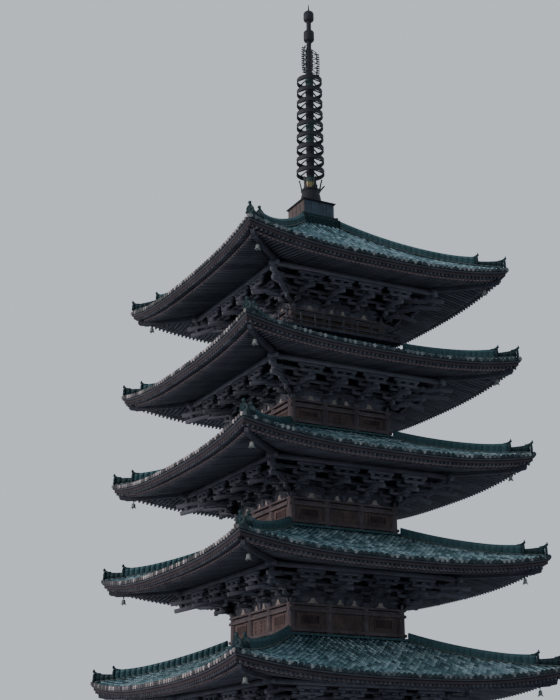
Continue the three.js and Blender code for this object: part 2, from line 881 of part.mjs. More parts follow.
const verandaInner = bodyHalves[topStorey] + columnRadius[topStorey] + seat;
addPiece(
  'veranda_floor',
  squareRing(veranda.half, verandaInner, veranda.top - veranda.thickness, veranda.top),
  materials.timber,
);
addPiece('veranda_balustrade', geometryOf(balustrade()), materials.timber);

addPiece('central_pillar', centralPillar(), materials.timber);
addPiece('spire_square_box', geometryOf(dewBasin()), materials.copper);
const spire = new THREE.Group();
spire.position.z = spireFoot;
pagoda.add(spire);
spire.add(addPiece('spire_bowl', bowl(), materials.bronze));
spire.add(addPiece('spire_lotus', geometryOf(lotus()), materials.bronze));
for (let k = 0; k < ringCount; k += 1) {
  const radius = between(k, [0, ringRadii[0]], [ringCount - 1, ringRadii[1]]);
  const ring = addPiece(`spire_ring_${k + 1}`, geometryOf(spireRing(radius)), materials.bronze);
  ring.position.z = ringStart + k * ringPitch;
  spire.add(ring);
}
spire.add(addPiece('water_flames', geometryOf(waterFlames()), materials.bronze));
spire.add(addPiece('dragon_car', dragonCar(), materials.bronze));
spire.add(addPiece('sacred_jewel', jewel(), materials.bronze));

for (const { name, storey, quarter } of hungBells) {
  const place = bellPlace(storey, quarter);
  const piece = addPiece(name, geometryOf(hungBell()), materials.bell);
  piece.position.set(place.x, place.y, place.roof - bell.drop);
  piece.rotation.z = place.heading;
}

export default pagoda;
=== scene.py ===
# %% [markdown]
# This is the visual model of a five-storey timber pagoda, a scale model at 1:2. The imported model
# already holds every solid in its right place, so it is loaded first and used as a frame: sizes
# are read from it, and each fine piece made below stands where the plain solid stood.

import math
from collections import namedtuple

import bmesh
import bpy
import numpy as np
from mathutils import Matrix, Vector


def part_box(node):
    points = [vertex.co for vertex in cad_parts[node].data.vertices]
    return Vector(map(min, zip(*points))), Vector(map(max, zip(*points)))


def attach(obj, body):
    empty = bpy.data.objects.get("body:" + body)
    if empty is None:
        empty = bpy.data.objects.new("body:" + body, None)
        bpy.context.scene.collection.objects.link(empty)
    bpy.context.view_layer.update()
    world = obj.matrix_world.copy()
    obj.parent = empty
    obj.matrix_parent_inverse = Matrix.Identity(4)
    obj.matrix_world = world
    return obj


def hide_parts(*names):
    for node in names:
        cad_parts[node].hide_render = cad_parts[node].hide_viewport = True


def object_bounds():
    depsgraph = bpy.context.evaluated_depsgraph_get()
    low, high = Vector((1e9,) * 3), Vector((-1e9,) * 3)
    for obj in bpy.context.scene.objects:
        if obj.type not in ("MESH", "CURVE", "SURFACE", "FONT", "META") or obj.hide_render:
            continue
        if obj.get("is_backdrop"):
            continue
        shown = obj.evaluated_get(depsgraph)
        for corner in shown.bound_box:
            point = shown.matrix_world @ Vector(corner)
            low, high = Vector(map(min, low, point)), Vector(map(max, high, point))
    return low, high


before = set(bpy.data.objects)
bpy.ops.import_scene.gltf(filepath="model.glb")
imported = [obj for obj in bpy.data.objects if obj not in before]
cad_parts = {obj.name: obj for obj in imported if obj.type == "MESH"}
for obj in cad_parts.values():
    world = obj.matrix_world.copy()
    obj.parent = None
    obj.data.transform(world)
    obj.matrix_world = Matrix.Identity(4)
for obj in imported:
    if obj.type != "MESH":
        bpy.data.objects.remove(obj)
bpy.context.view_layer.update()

# %% [markdown]
# Every roof has the same curves. Seen from the side it sags between its head and its eave, and
# along the eave it rises towards the corners. A few formulas give any height on and under it, so
# that tiles, ridges, rafters and bells all meet. They work on arrays, because thousands of tiles
# ask for one.

# %% Sizes that the roofs share, in metres
STOREYS = ["first", "second", "third", "fourth", "fifth"]
TOP = len(STOREYS) - 1
SIDES = ["front", "right", "back", "left"]
CORNER_LIFT = 0.35
LIFT_POWER = 2.7
TILE_UNDER = 0.025
TILE_BED = 0.06
BED_PROUD = 0.004
LOWER_PITCH, TOP_RISE = 0.4, 2.125
SPIRE_HEAD = 0.55
eave_half = [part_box(f"{name}_roof_tiles")[1].x for name in STOREYS]
eave_height = [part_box(f"{name}_roof_tiles")[0].z + TILE_UNDER for name in STOREYS]
wall_half = [1.6, 1.525, 1.45, 1.375, 1.3]
column_radius = [0.14] + [0.1] * TOP
head_half = [wall_half[i + 1] + column_radius[i + 1] for i in range(TOP)] + [SPIRE_HEAD]
roof_rise = [LOWER_PITCH * (eave_half[i] - head_half[i]) for i in range(TOP)] + [TOP_RISE]
roof_hollow = [0.2] * TOP + [0.32]
# Where the rafters start, inside the wall's face, and where their purlin lies, outside it
WALL_IN, PURLIN_OUT = 0.225, 1.025
# Where the strip on the lower rafters and the upper rafters' tips lie, inside the roof's edge
KIOI_IN, TIP_IN = 0.325, 0.09
RAFTER_HEIGHTS = [0.25, 0, -0.225]
TIP_DROP = 0.205
TIP_SLOPE = 0.34
BRACKET_HEIGHT = 0.75


def roof_line(storey, distance, along):
    """Height on which the tiles lie, at a distance from the axis and a place along the side."""
    run = (distance - head_half[storey]) / (eave_half[storey] - head_half[storey])
    hollow = roof_hollow[storey]
    fall = run * (1 + hollow) - hollow * run**2
    share = np.minimum(np.abs(along) / distance, 1)
    lift = CORNER_LIFT * share**LIFT_POWER * np.maximum(run, 0) ** 2
    return eave_height[storey] + roof_rise[storey] * (1 - fall) + lift


def eave_lift(storey, distance, along):
    """How far the rafters follow the rise of the corner."""
    share = np.minimum(np.abs(along) / distance, 1)
    out = (distance - wall_half[storey]) / (eave_half[storey] - wall_half[storey])
    return CORNER_LIFT * share**LIFT_POWER * np.maximum(out, 0) ** 2


def rafter_line(storey, distance, along):
    """Underside of the lower rafters, from inside the wall to their tips."""
    wall, edge = wall_half[storey], eave_half[storey]
    places = [wall - WALL_IN, wall + PURLIN_OUT, edge - KIOI_IN]
    heights = [eave_height[storey] + up for up in RAFTER_HEIGHTS]
    return np.interp(distance, places, heights) + eave_lift(storey, distance, along)


def tip_line(storey, distance, along):
    """Underside of the upper rafters, which start on the strip that the lower ones carry."""
    tip = eave_half[storey] - TIP_IN
    fall = TIP_DROP - TIP_SLOPE * (tip - distance)
    return eave_height[storey] - fall + eave_lift(storey, distance, along)


print("eaves", [round(v, 3) for v in eave_height], "half-sides", [round(v, 3) for v in eave_half])

# %% [markdown]
# A pagoda repeats a few small shapes many thousand times. Each shape is modelled once with bmesh
# operators. Its copies are then written as one joined mesh, from an array that holds every copy's
# vertices, which takes seconds where thousands of objects would take minutes. Each copy also gets
# a random tone on its faces, which the finishes read, so that no two tiles look quite alike.

# %% Places on a side and on a hip
def on_side(quarter, along, distance, height):
    """Points given by their place along a side, distance from the axis and height, on any side."""
    cos, sin = [(1, 0), (0, 1), (-1, 0), (0, -1)][quarter]
    along, distance, height = np.broadcast_arrays(along, distance, height)
    return np.stack([along * cos + distance * sin, along * sin - distance * cos, height], axis=-1)


def on_hip(quarter, out, across, height):
    """Points given by the half-side of their ring, distance from the hip and height."""
    heading = (quarter + 0.5) * math.pi / 2
    out, across, height = np.broadcast_arrays(out, across, height)
    reach = out * math.sqrt(2)
    x = reach * math.cos(heading) - across * math.sin(heading)
    y = reach * math.sin(heading) + across * math.cos(heading)
    return np.stack([x, y, height], axis=-1)


def at(x=0, y=0, z=0):
    """A move to a place."""
    return Matrix.Translation((x, y, z))


def quarter_turn(quarters, axis="Z"):
    """A turn by this many quarters of a circle."""
    return Matrix.Rotation(quarters * math.pi / 2, 4, axis)


print("the front eave of the top roof starts at", on_side(0, -1, 1, 0) * eave_half[TOP])

# %% Copies of a shape, as arrays
rng = np.random.default_rng(7)


def corners_of(bm):
    """A shape's vertices as an array."""
    bm.verts.index_update()
    return np.array([v.co[:] for v in bm.verts])


def copies(bm, placed, tones=None):
    """Copies of one small shape, as arrays: placed holds each copy's vertices."""
    count, size = placed.shape[:2]
    bm.verts.index_update()
    faces = [[v.index for v in f.verts] for f in bm.faces]
    corners = np.concatenate(faces)[None, :] + np.arange(count)[:, None] * size
    lengths = np.tile([len(f) for f in faces], count)
    tones = rng.random(count) if tones is None else tones
    return placed.reshape(-1, 3), corners.ravel(), lengths, np.repeat(tones, len(faces))


def moved(bm, matrices):
    """Copies of a shape that keep its form, each at its own matrix."""
    matrices = np.array([np.array(m) for m in matrices])
    placed = np.einsum("nij,pj->npi", matrices[:, :3, :3], corners_of(bm))
    return copies(bm, placed + matrices[:, None, :3, 3])


def mesh_of(name, parts):
    """One mesh from several arrays of copies."""
    points = np.concatenate([p[0] for p in parts])
    shifts = np.cumsum([0] + [len(p[0]) for p in parts[:-1]])
    corners = np.concatenate([p[1] + shift for p, shift in zip(parts, shifts)])
    lengths = np.concatenate([p[2] for p in parts])
    tones = np.concatenate([p[3] for p in parts])
    mesh = bpy.data.meshes.new(name)
    mesh.vertices.add(len(points))
    mesh.vertices.foreach_set("co", points.ravel().astype(np.float32))
    mesh.loops.add(len(corners))
    mesh.loops.foreach_set("vertex_index", corners.astype(np.int32))
    mesh.polygons.add(len(lengths))
    mesh.polygons.foreach_set("loop_start", (np.cumsum(lengths) - lengths).astype(np.int32))
    mesh.update(calc_edges=True)
    mesh.attributes.new("tone", "FLOAT", "FACE").data.foreach_set("value", tones.astype(np.float32))
    return mesh


def on_four_sides(shape, along, distance, height):
    """The same row of copies on every side."""
    return [copies(shape, on_side(quarter, along, distance, height)) for quarter in range(4)]


# %% Put a piece in the scene
def add_piece(name, shape, finish, replaced=(), body="pagoda"):
    """Puts a finished shape, or a list of copies, in the scene, riding on its body."""
    if isinstance(shape, list):
        mesh = mesh_of(name, shape)
    else:
        mesh = bpy.data.meshes.new(name)
        shape.to_mesh(mesh)
        shape.free()
    piece = bpy.data.objects.new(name, mesh)
    bpy.context.collection.objects.link(piece)
    mesh.materials.clear()
    mesh.materials.append(finish)
    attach(piece, body)
    if replaced:
        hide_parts(*replaced)


# %% Small shapes
def clean(bm):
    """Merges what meets and turns every face outwards."""
    bmesh.ops.remove_doubles(bm, verts=bm.verts[:], dist=1e-5)
    bmesh.ops.recalc_face_normals(bm, faces=bm.faces[:])
    return bm


def move(bm, matrix, verts=None):
    """Moves or turns some vertices, or all of them."""
    bmesh.ops.transform(bm, matrix=matrix, verts=verts or bm.verts[:])


def soften(bm, angle=0.6):
    """Smooth shading, with a sharp edge wherever two faces meet at more than the angle."""
    for face in bm.faces:
        face.smooth = True
    for edge in bm.edges:
        edge.smooth = len(edge.link_faces) == 2 and edge.calc_face_angle() < angle
    return bm


def block(bm, low, high, foot_scale=1, bevel=0):
    """A block between two corners, whose foot may be narrower."""
    low, high = Vector(low), Vector(high)
    verts = bmesh.ops.create_cube(bm, size=1)["verts"]
    for v in verts:
        if v.co.z < 0:
            v.co.xy *= foot_scale
    bmesh.ops.scale(bm, vec=high - low, verts=verts)
    move(bm, Matrix.Translation((low + high) / 2), verts)
    if bevel:
        edges = list({e for v in verts for e in v.link_edges})
        bmesh.ops.bevel(
            bm, geom=edges, offset=bevel, segments=1, profile=0.5, affect="EDGES", material=-1
        )
    return verts


def drum(bm, sides, foot, head, depth, matrix=Matrix.Identity(4)):
    """A round block along z, with one radius at its foot and one at its head."""
    bmesh.ops.create_cone(
        bm, cap_ends=True, segments=sides, radius1=foot, radius2=head, depth=depth, matrix=matrix
    )


def plate(bm, outline, thickness, matrix=Matrix.Identity(4)):
    """A flat outline in the upright plane of x and z, made thick along y."""
    verts = [bm.verts.new((x, -thickness / 2, z)) for x, z in outline]
    face = bm.faces.new(verts)
    made = bmesh.ops.extrude_face_region(bm, geom=[face])["geom"]
    far = [g for g in made if isinstance(g, bmesh.types.BMVert)]
    move(bm, at(y=thickness), far)
    move(bm, matrix, verts + far)


def turned(bm, profile, steps):
    """A round shape, spun from [radius, height] points."""
    before = set(bm.verts)
    verts = [bm.verts.new((radius, 0, height)) for radius, height in profile]
    edges = [bm.edges.new(pair) for pair in zip(verts, verts[1:])]
    geom = verts + edges
    bmesh.ops.spin(
        bm, geom=geom, axis=(0, 0, 1), cent=(0, 0, 0), angle=math.tau, steps=steps, use_merge=True
    )
    made = [v for v in bm.verts if v not in before]
    bmesh.ops.remove_doubles(bm, verts=made, dist=1e-5)


def tube(bm, path, radii, sides):
    """A round bar along a path: circles at its points, bridged, with both ends closed."""
    path = [Vector(p) for p in path]
    loops = []
    for k, (point, radius) in enumerate(zip(path, radii)):
        way = path[min(k + 1, len(path) - 1)] - path[max(k - 1, 0)]
        matrix = Matrix.Translation(point) @ way.to_track_quat("Z", "Y").to_matrix().to_4x4()
        ring = bmesh.ops.create_circle(bm, segments=sides, radius=radius, matrix=matrix)["verts"]
        loops.append(list({e for v in ring for e in v.link_edges}))
    for first, second in zip(loops, loops[1:]):
        bmesh.ops.bridge_loops(bm, edges=first + second)
    for end in (loops[0], loops[-1]):
        bmesh.ops.contextual_create(bm, geom=end)


def bar(bm, start, end, width, height):
    """A squared timber from one point to another, level across its width."""
    start, end = Vector(start), Vector(end)
    way = end - start
    verts = block(bm, (0, -width / 2, -height / 2), (way.length, width / 2, height / 2))
    across = Vector((0, 0, 1)).cross(way).normalized()
    up = way.normalized().cross(across)
    turn = Matrix((way.normalized(), across, up)).transposed().to_4x4()
    move(bm, Matrix.Translation(start) @ turn, verts)
    return verts


def divided(low, high, count):
    """The limits of equal parts between two places."""
    edges = np.linspace(low, high, count + 1)
    return list(zip(edges, edges[1:]))


# %% Shapes that go right round
BAND_STEPS = 28


def around(bm, make):
    """Makes the same thing on all four sides: make works on the front one."""
    for quarter in range(4):
        before = set(bm.verts)
        make(bm)
        move(bm, quarter_turn(quarter), [v for v in bm.verts if v not in before])


def ring_of_bars(bm, half, low, high, width, overhang=0):
    """Four level beams round the pagoda, crossing at the corners where they run past."""
    start = (-half - overhang, -half - width / 2, low)
    end = (half + overhang, -half + width / 2, high)
    around(bm, lambda bm: block(bm, start, end))


def eave_band(storey, distances, top, under):
    """A ring that follows the eave: a thick grid a side, its vertices moved to their heights."""
    rows = len(distances) - 1
    bm = bmesh.new()
    bmesh.ops.create_grid(bm, x_segments=BAND_STEPS, y_segments=rows, size=1)
    bmesh.ops.solidify(bm, geom=bm.faces[:], thickness=1)
    points = corners_of(bm)
    levels = points[:, 2] > points[:, 2].mean()
    distance = np.interp(points[:, 1], np.linspace(-1, 1, rows + 1), distances)
    along = np.sin(points[:, 0] * math.pi / 2) * distance
    height = np.where(levels, top(storey, distance, along), under(storey, distance, along))
    placed = np.stack([on_side(quarter, along, distance, height) for quarter in range(4)])
    arrays = copies(bm, placed, np.full(4, 0.5))
    made = bmesh.new()
    made.from_mesh(mesh_of("band", [arrays]))
    return clean(made)


print("an eave is drawn in", BAND_STEPS, "steps a side, closest together at the corners")

# %% [markdown]
# A finish is a material made of nodes. Writing the node tree by hand is slow to read, so one small
# class wraps a socket: adding or multiplying two of them adds the Math node that does it. Every
# other node comes from one method. Patterns are laid on Object coordinates, which are metres here,
# so a noise of scale 40 has spots of about 2 cm, and they stay put when a bell swings.


# %% Values of sockets, as Python expressions
class Value:
    """A socket's value. Sums, differences and products of values add their Math nodes."""

    def __init__(self, finish, socket):
        self.finish = finish
        self.socket = socket

    def maths(self, operation, first, second):
        return self.finish.node("ShaderNodeMath", {"operation": operation}, {0: first, 1: second})

    def __add__(self, other):
        return self.maths("ADD", self, other)

    def __sub__(self, other):
        return self.maths("SUBTRACT", self, other)

    def __rsub__(self, other):
        return self.maths("SUBTRACT", other, self)

    def __mul__(self, other):
        return self.maths("MULTIPLY", self, other)

    __radd__ = __add__
    __rmul__ = __mul__


# %% A finish and its patterns
class Finish:
    """A material whose patterns are fed to its Principled shader."""

    def __init__(self, name):
        self.material = bpy.data.materials.new(name)
        self.material.use_nodes = True
        self.tree = self.material.node_tree
        self.shader = self.tree.nodes["Principled BSDF"]

    def node(self, kind, settings=None, inputs=None, output=0):
        made = self.tree.nodes.new(kind)
        settings = dict(settings or {})
        stops = settings.pop("stops", ())
        for key, value in settings.items():
            setattr(made, key, value)
        for k, (place, colour) in enumerate(stops):
            ramp = made.color_ramp.elements
            stop = ramp[k] if k < len(ramp) else ramp.new(place)
            stop.position = place
            stop.color = (*colour, 1)
        for key, value in (inputs or {}).items():
            self.feed(made.inputs[key], value)
        return Value(self, made.outputs[output])

    def feed(self, socket, value):
        if isinstance(value, Value):
            self.tree.links.new(value.socket, socket)
        elif isinstance(value, tuple) and socket.type == "RGBA":
            socket.default_value = (*value, 1)
        else:
            socket.default_value = value

    def set(self, **sockets):
        for name, value in sockets.items():
            self.feed(self.shader.inputs[name.replace("_", " ").title()], value)
        return self

    def shine(self, level):
        """How strongly the surface mirrors its surroundings. Most surfaces have 0.5."""
        self.shader.inputs["Specular IOR Level"].default_value = level
        return self

    def place(self, stretch=(1, 1, 1)):
        coordinates = self.node("ShaderNodeTexCoord", output="Object")
        return self.node("ShaderNodeMapping", {}, {"Vector": coordinates, "Scale": stretch})

    def noise(self, scale, detail=3, stretch=(1, 1, 1), rough=0.5):
        sockets = {"Vector": self.place(stretch), "Scale": scale, "Detail": detail, "Roughness": rough}
        return self.node("ShaderNodeTexNoise", {}, sockets)

    def spread(self, value, low, high):
        """The value between low and high, stretched to run from 0 to 1."""
        sockets = {"Value": value, "From Min": low, "From Max": high}
        return self.node("ShaderNodeMapRange", {}, sockets)

    def tone(self):
        """The random number that each copied piece carries."""
        return self.node("ShaderNodeAttribute", {"attribute_name": "tone"}, output="Fac")

    def ramp(self, value, *stops):
        return self.node("ShaderNodeValToRGB", {"stops": stops}, {"Fac": value})

    def mix(self, share, first, second):
        sockets = {0: share, 6: first, 7: second}
        return self.node("ShaderNodeMix", {"data_type": "RGBA"}, sockets, output=2)

    def bump(self, height, depth, strength=1.0):
        sockets = {"Height": height, "Distance": depth, "Strength": strength}
        self.set(normal=self.node("ShaderNodeBump", {}, sockets))
        return self


# %% [markdown]
# Roof tiles are smoked clay. Each came out of the kiln a little different, then weathered: some are nearly
# white with dust and lichen, some nearly black with soot. A fine noise speckles them, the tone of each
# copy makes it lighter or darker, and a wide soft noise lays the green cast that damp corners have. The
# round ends along the eaves vary most. On the left side they are painted pale, which is painted light, and
# on the other three sides they are painted dark, which is painted shade.


# %% Clay finishes
def clay(name, dark, middle, light, cast, variety=0.4):
    finish = Finish(name)
    speckle = finish.noise(60, 4, rough=0.6)
    shade = finish.tone() * variety + speckle * 1.1 - 0.05 - 0.5 * variety
    glaze = finish.ramp(shade, (0.3, dark), (0.5, middle), (0.8, light))
    damp = finish.spread(finish.noise(0.9, 3), 0.45, 0.7)
    finish.set(base_color=finish.mix(damp * 0.6, glaze, cast))
    finish.set(roughness=0.8 - speckle * 0.3)
    return finish.shine(0.2).bump(speckle, 0.004, 0.5).material


roof_tile = clay(
    "roof_tile", (0.018, 0.04, 0.05), (0.105, 0.2, 0.235), (0.34, 0.46, 0.49), (0.055, 0.125, 0.135)
)
# The round tile ends of three sides are much darker than the tiles: painted shade.
shaded_end = clay(
    "shaded_end", (0.008, 0.014, 0.017), (0.028, 0.046, 0.053), (0.2, 0.22, 0.225), (0.016, 0.036, 0.042),
    variety=0.65,
)
# The round tile ends of the left side are pale: painted light.
sunlit_end = clay(
    "sunlit_end", (0.03, 0.03, 0.033), (0.12, 0.11, 0.118), (0.4, 0.37, 0.38), (0.06, 0.07, 0.072),
    variety=0.6,
)
ridge_tile = clay(
    "ridge_tile", (0.014, 0.038, 0.046), (0.036, 0.09, 0.105), (0.09, 0.175, 0.19), (0.02, 0.066, 0.072),
    variety=0.05,
)
# A darker copy of the ridge tile, painted shade, for the ridge ends, the low ridges and the courses under
# the box.
shaded_ridge_tile = clay(
    "shaded_ridge_tile", (0.004, 0.012, 0.015), (0.011, 0.03, 0.036), (0.028, 0.062, 0.07), (0.007, 0.024, 0.028),
    variety=0.05,
)
roof_clay = clay(
    "roof_clay", (0.008, 0.012, 0.016), (0.02, 0.03, 0.036), (0.04, 0.055, 0.062), (0.02, 0.028, 0.032)
)

# %% [markdown]
# The timber was once oiled or painted and has gone almost black. What is left is the grain, which
# runs along each piece, and a paler, redder brown where weather and light still reach. Boards on
# the pagoda run along x or along y, so a grain stretched along both would blur; a fine noise that
# is stretched upright serves posts, and an even one serves the rest.


# %% Timber finishes
def timber(name, dark, light, stretch=(1, 1, 1), gloss=0.8):
    finish = Finish(name)
    grain = finish.noise(60, 5, stretch, 0.65)
    patches = finish.noise(2.5, 3)
    shade = grain * 0.6 + patches * 0.35 + finish.tone() * 0.2 - 0.1
    finish.set(base_color=finish.ramp(shade, (0.3, dark), (0.68, light)))
    finish.set(roughness=gloss + (0.5 - grain) * 0.2)
    return finish.shine(0.12).bump(grain, 0.003, 0.6).material


upright = (1, 1, 0.08)
# The dark timber, the hip rafters, the rafters and the boards have a blue grey cast, which is painted sky
# light. The rafters and hip rafters are darker than the dark timber, which is painted shade under the
# eaves. Their near black is otherwise the timber's own colour.
dark_timber = timber("dark_timber", (0.034, 0.038, 0.05), (0.105, 0.113, 0.14))
hip_timber = timber("hip_timber", (0.024, 0.027, 0.037), (0.07, 0.076, 0.095))
post_timber = timber("post_timber", (0.05, 0.044, 0.05), (0.165, 0.138, 0.145), upright)
rafter_timber = timber("rafter_timber", (0.024, 0.027, 0.036), (0.07, 0.076, 0.093))
# The boards are much paler than the rafters: painted light that lifts the shade between the rafters.
fill_lit_board_timber = timber("fill_lit_board_timber", (0.15, 0.165, 0.2), (0.38, 0.41, 0.46))
fascia_timber = timber("fascia_timber", (0.017, 0.015, 0.019), (0.05, 0.043, 0.051))
# The kioi strip is paler and pinker than the other timbers: painted light of a low warm sun.
sunlit_kioi_timber = timber("sunlit_kioi_timber", (0.08, 0.064, 0.07), (0.21, 0.168, 0.183))
door_timber = timber("door_timber", (0.042, 0.033, 0.034), (0.165, 0.122, 0.113), upright, 0.7)

# %% [markdown]
# Plaster fills the small panels between the brackets, granite makes the platform, mortar beds the
# ridges, and the spire is cast bronze gone green and black, with a sheath of brass. Each is a base
# colour, broken up by two sizes of noise.


# %% Plaster, stone and metal finishes
def plain(name, dark, light, scale=30, roughness=0.9, metallic=0.0, shine=0.5):
    finish = Finish(name)
    fine = finish.noise(scale, 5, rough=0.6)
    wide = finish.noise(scale * 0.08, 3)
    shade = fine * 0.6 + wide * 0.4
    finish.set(base_color=finish.ramp(shade, (0.32, dark), (0.68, light)))
    finish.set(roughness=roughness + (fine - 0.5) * 0.3, metallic=metallic)
    return finish.shine(shine).bump(fine, 0.003, 0.5).material


plaster = plain("plaster", (0.14, 0.13, 0.125), (0.42, 0.39, 0.37), 50)
granite = plain("granite", (0.2, 0.19, 0.175), (0.5, 0.48, 0.45), 60)
mortar = plain("mortar", (0.02, 0.033, 0.038), (0.09, 0.12, 0.125), 90)
bronze = plain("bronze", (0.006, 0.008, 0.011), (0.022, 0.026, 0.034), 25, 0.6, 0.1, 0.2)
green_bronze = plain("green_bronze", (0.008, 0.022, 0.022), (0.028, 0.06, 0.058), 25, 0.6, 0.1, 0.3)
bell_bronze = plain("bell_bronze", (0.08, 0.1, 0.1), (0.24, 0.27, 0.265), 45, 0.7, 0.2, 0.3)
brass = plain("brass", (0.08, 0.07, 0.035), (0.26, 0.23, 0.13), 30, 0.32, 0.8)
iron = plain("iron", (0.008, 0.008, 0.009), (0.03, 0.028, 0.028), 40, 0.6, 0.5)

# %% [markdown]
# The square box under the spire is sheet copper with upright streaks. Its side towards -x is painted a
# pinkish brown, a painted sunlit side. The other three are a dark blue green, the copper's own green
# darkened by painted shade. The x coordinate alone tells the sides apart, and a noise stretched upright
# makes the streaks.

# %% Copper sheet with a painted sunlit side and painted shade
SUNLIT_FROM, SUNLIT_AT = -0.455, -0.462
sheet = Finish("copper_sheet")
streaks = sheet.noise(14, 3, (1, 1, 0.12)) * 0.5 + sheet.noise(6, 4) * 0.5
across = sheet.node("ShaderNodeSeparateXYZ", {}, {"Vector": sheet.place()}, output="X")
painted_shaded_side = sheet.ramp(streaks, (0.35, (0.005, 0.014, 0.026)), (0.65, (0.016, 0.04, 0.062)))
painted_sunlit_side = sheet.ramp(streaks, (0.36, (0.012, 0.008, 0.008)), (0.55, (0.051, 0.034, 0.032)))
# The mix paints light on the side towards -x and paints shade on the other three.
sheet.set(base_color=sheet.mix(sheet.spread(across, SUNLIT_FROM, SUNLIT_AT), painted_shaded_side, painted_sunlit_side))
sheet.set(roughness=0.65 - streaks * 0.2, metallic=0.25)
copper_sheet = sheet.bump(streaks, 0.003, 0.4).material
print("finishes:", len(bpy.data.materials))

# %% [markdown]
# The tiles lie in a bed of clay on the roof boards. Rows of pan tiles run down the slope and drain
# it, and half-round cover tiles close the joints between the rows. The half-round shape starts as
# an operator's cone that is cut in half, the pan as an outline made thick. Each row is laid from
# the eave upwards and ends at the hip, as a roofer would lay it, and every tile is nudged by a
# millimetre or two. At the eave a small lip turns each row of pans down, and a round disc with a
# raised rim closes each row of covers.

# %% Tile shapes
ROW = 0.135
TILE_LENGTH = 0.16
NUDGE = 0.0018
COVER_RADIUS = 0.044
DISC = 0.03


def cover_tile():
    bm = bmesh.new()
    drum(bm, 10, COVER_RADIUS, COVER_RADIUS * 0.9, 1)
    move(bm, quarter_turn(-1, "X"))
    move(bm, at(y=0.5))
    everything = bm.verts[:] + bm.edges[:] + bm.faces[:]
    bmesh.ops.bisect_plane(bm, geom=everything, plane_co=(0, 0, 0), plane_no=(0, 0, 1), clear_inner=True)
    bmesh.ops.holes_fill(bm, edges=bm.edges[:], sides=0)
    return clean(bm)


def pan_tile():
    bm = bmesh.new()
    half = ROW / 2 - 0.02
    plate(bm, [(-half, 0.02), (0, 0.004), (half, 0.02), (half, -0.004), (-half, -0.004)], 1, at(y=0.5))
    return clean(bm)


def end_disc():
    """The round end of a cover tile, its face towards -y, with a raised rim."""
    bm = bmesh.new()
    bmesh.ops.create_circle(bm, cap_ends=True, segments=10, radius=0.05)
    made = bmesh.ops.extrude_face_region(bm, geom=bm.faces[:])["geom"]
    front = [g for g in made if isinstance(g, bmesh.types.BMFace)][0]
    move(bm, at(z=DISC), front.verts[:])
    bmesh.ops.inset_region(bm, faces=[front], thickness=0.011)
    move(bm, at(z=-0.008), front.verts[:])
    move(bm, quarter_turn(1, "X"))
    return clean(bm)


def eave_lip():
    """The turned-down end of a pan tile."""
    bm = bmesh.new()
    half = ROW / 2 - 0.03
    block(bm, (-half, -0.024, -0.03), (half, 0, 0.018), foot_scale=0.6)
    return clean(bm)


cover, pan, disc, lip = cover_tile(), pan_tile(), end_disc(), eave_lip()
print("faces of a cover, a pan, a disc and a lip:", [len(bm.faces) for bm in (cover, pan, disc, lip)])


# %% Rows of tiles
def tile_rows(storey, shift):
    """Each tile's place along the side, and the distances of its lower and upper ends."""
    edge = eave_half[storey]
    count = round(2 * edge / ROW)
    rows = []
    for k in range(count):
        along = -edge + (k + shift) * 2 * edge / count
        stop = max(head_half[storey], abs(along))
        lower = np.arange(edge - 0.01, stop + 0.01, -TILE_LENGTH)
        upper = np.maximum(lower - TILE_LENGTH, stop)
        rows.append(np.stack([np.full_like(lower, along), lower, upper], axis=-1))
    return np.concatenate(rows)


def lay_tiles(storey, shape, shift, rise, overlap):
    """Tiles on all four sides of a roof."""
    points = corners_of(shape)
    share = points[:, 1]
    along, lower, upper = tile_rows(storey, shift).T[..., None]
    foot, top = roof_line(storey, lower, along), roof_line(storey, upper, along)
    distance = lower + (upper - overlap - lower) * share
    height = foot + (top - foot) * share + points[:, 2] + rise
    parts = []
    for quarter in range(4):
        nudge = rng.normal(0, NUDGE, (2, len(along), 1))
        place = on_side(quarter, along + points[:, 0] + nudge[1], distance, height + nudge[0])
        parts.append(copies(shape, place))
    return parts


def lay_eave_ends(storey, shape, shift, rise):
    """Pieces that close the tile rows, their faces on the edge of the roof."""
    points = corners_of(shape)
    edge = eave_half[storey]
    count = round(2 * edge / ROW)
    along = (-edge + np.arange(shift, count) * 2 * edge / count)[:, None]
    height = roof_line(storey, edge, along) + points[:, 2] + rise
    distance = edge + points[:, 1].min() - points[:, 1]
    return on_four_sides(shape, along + points[:, 0], distance, height)


# %% Lay the tiles of all five roofs
def bed_under(storey, distance, along):
    edge = eave_half[storey]
    up = (edge - distance) / (edge - head_half[storey])
    return roof_line(storey, distance, along) - TILE_UNDER - TILE_BED * up


def bed_top(storey, distance, along):
    return roof_line(storey, distance, along) + BED_PROUD


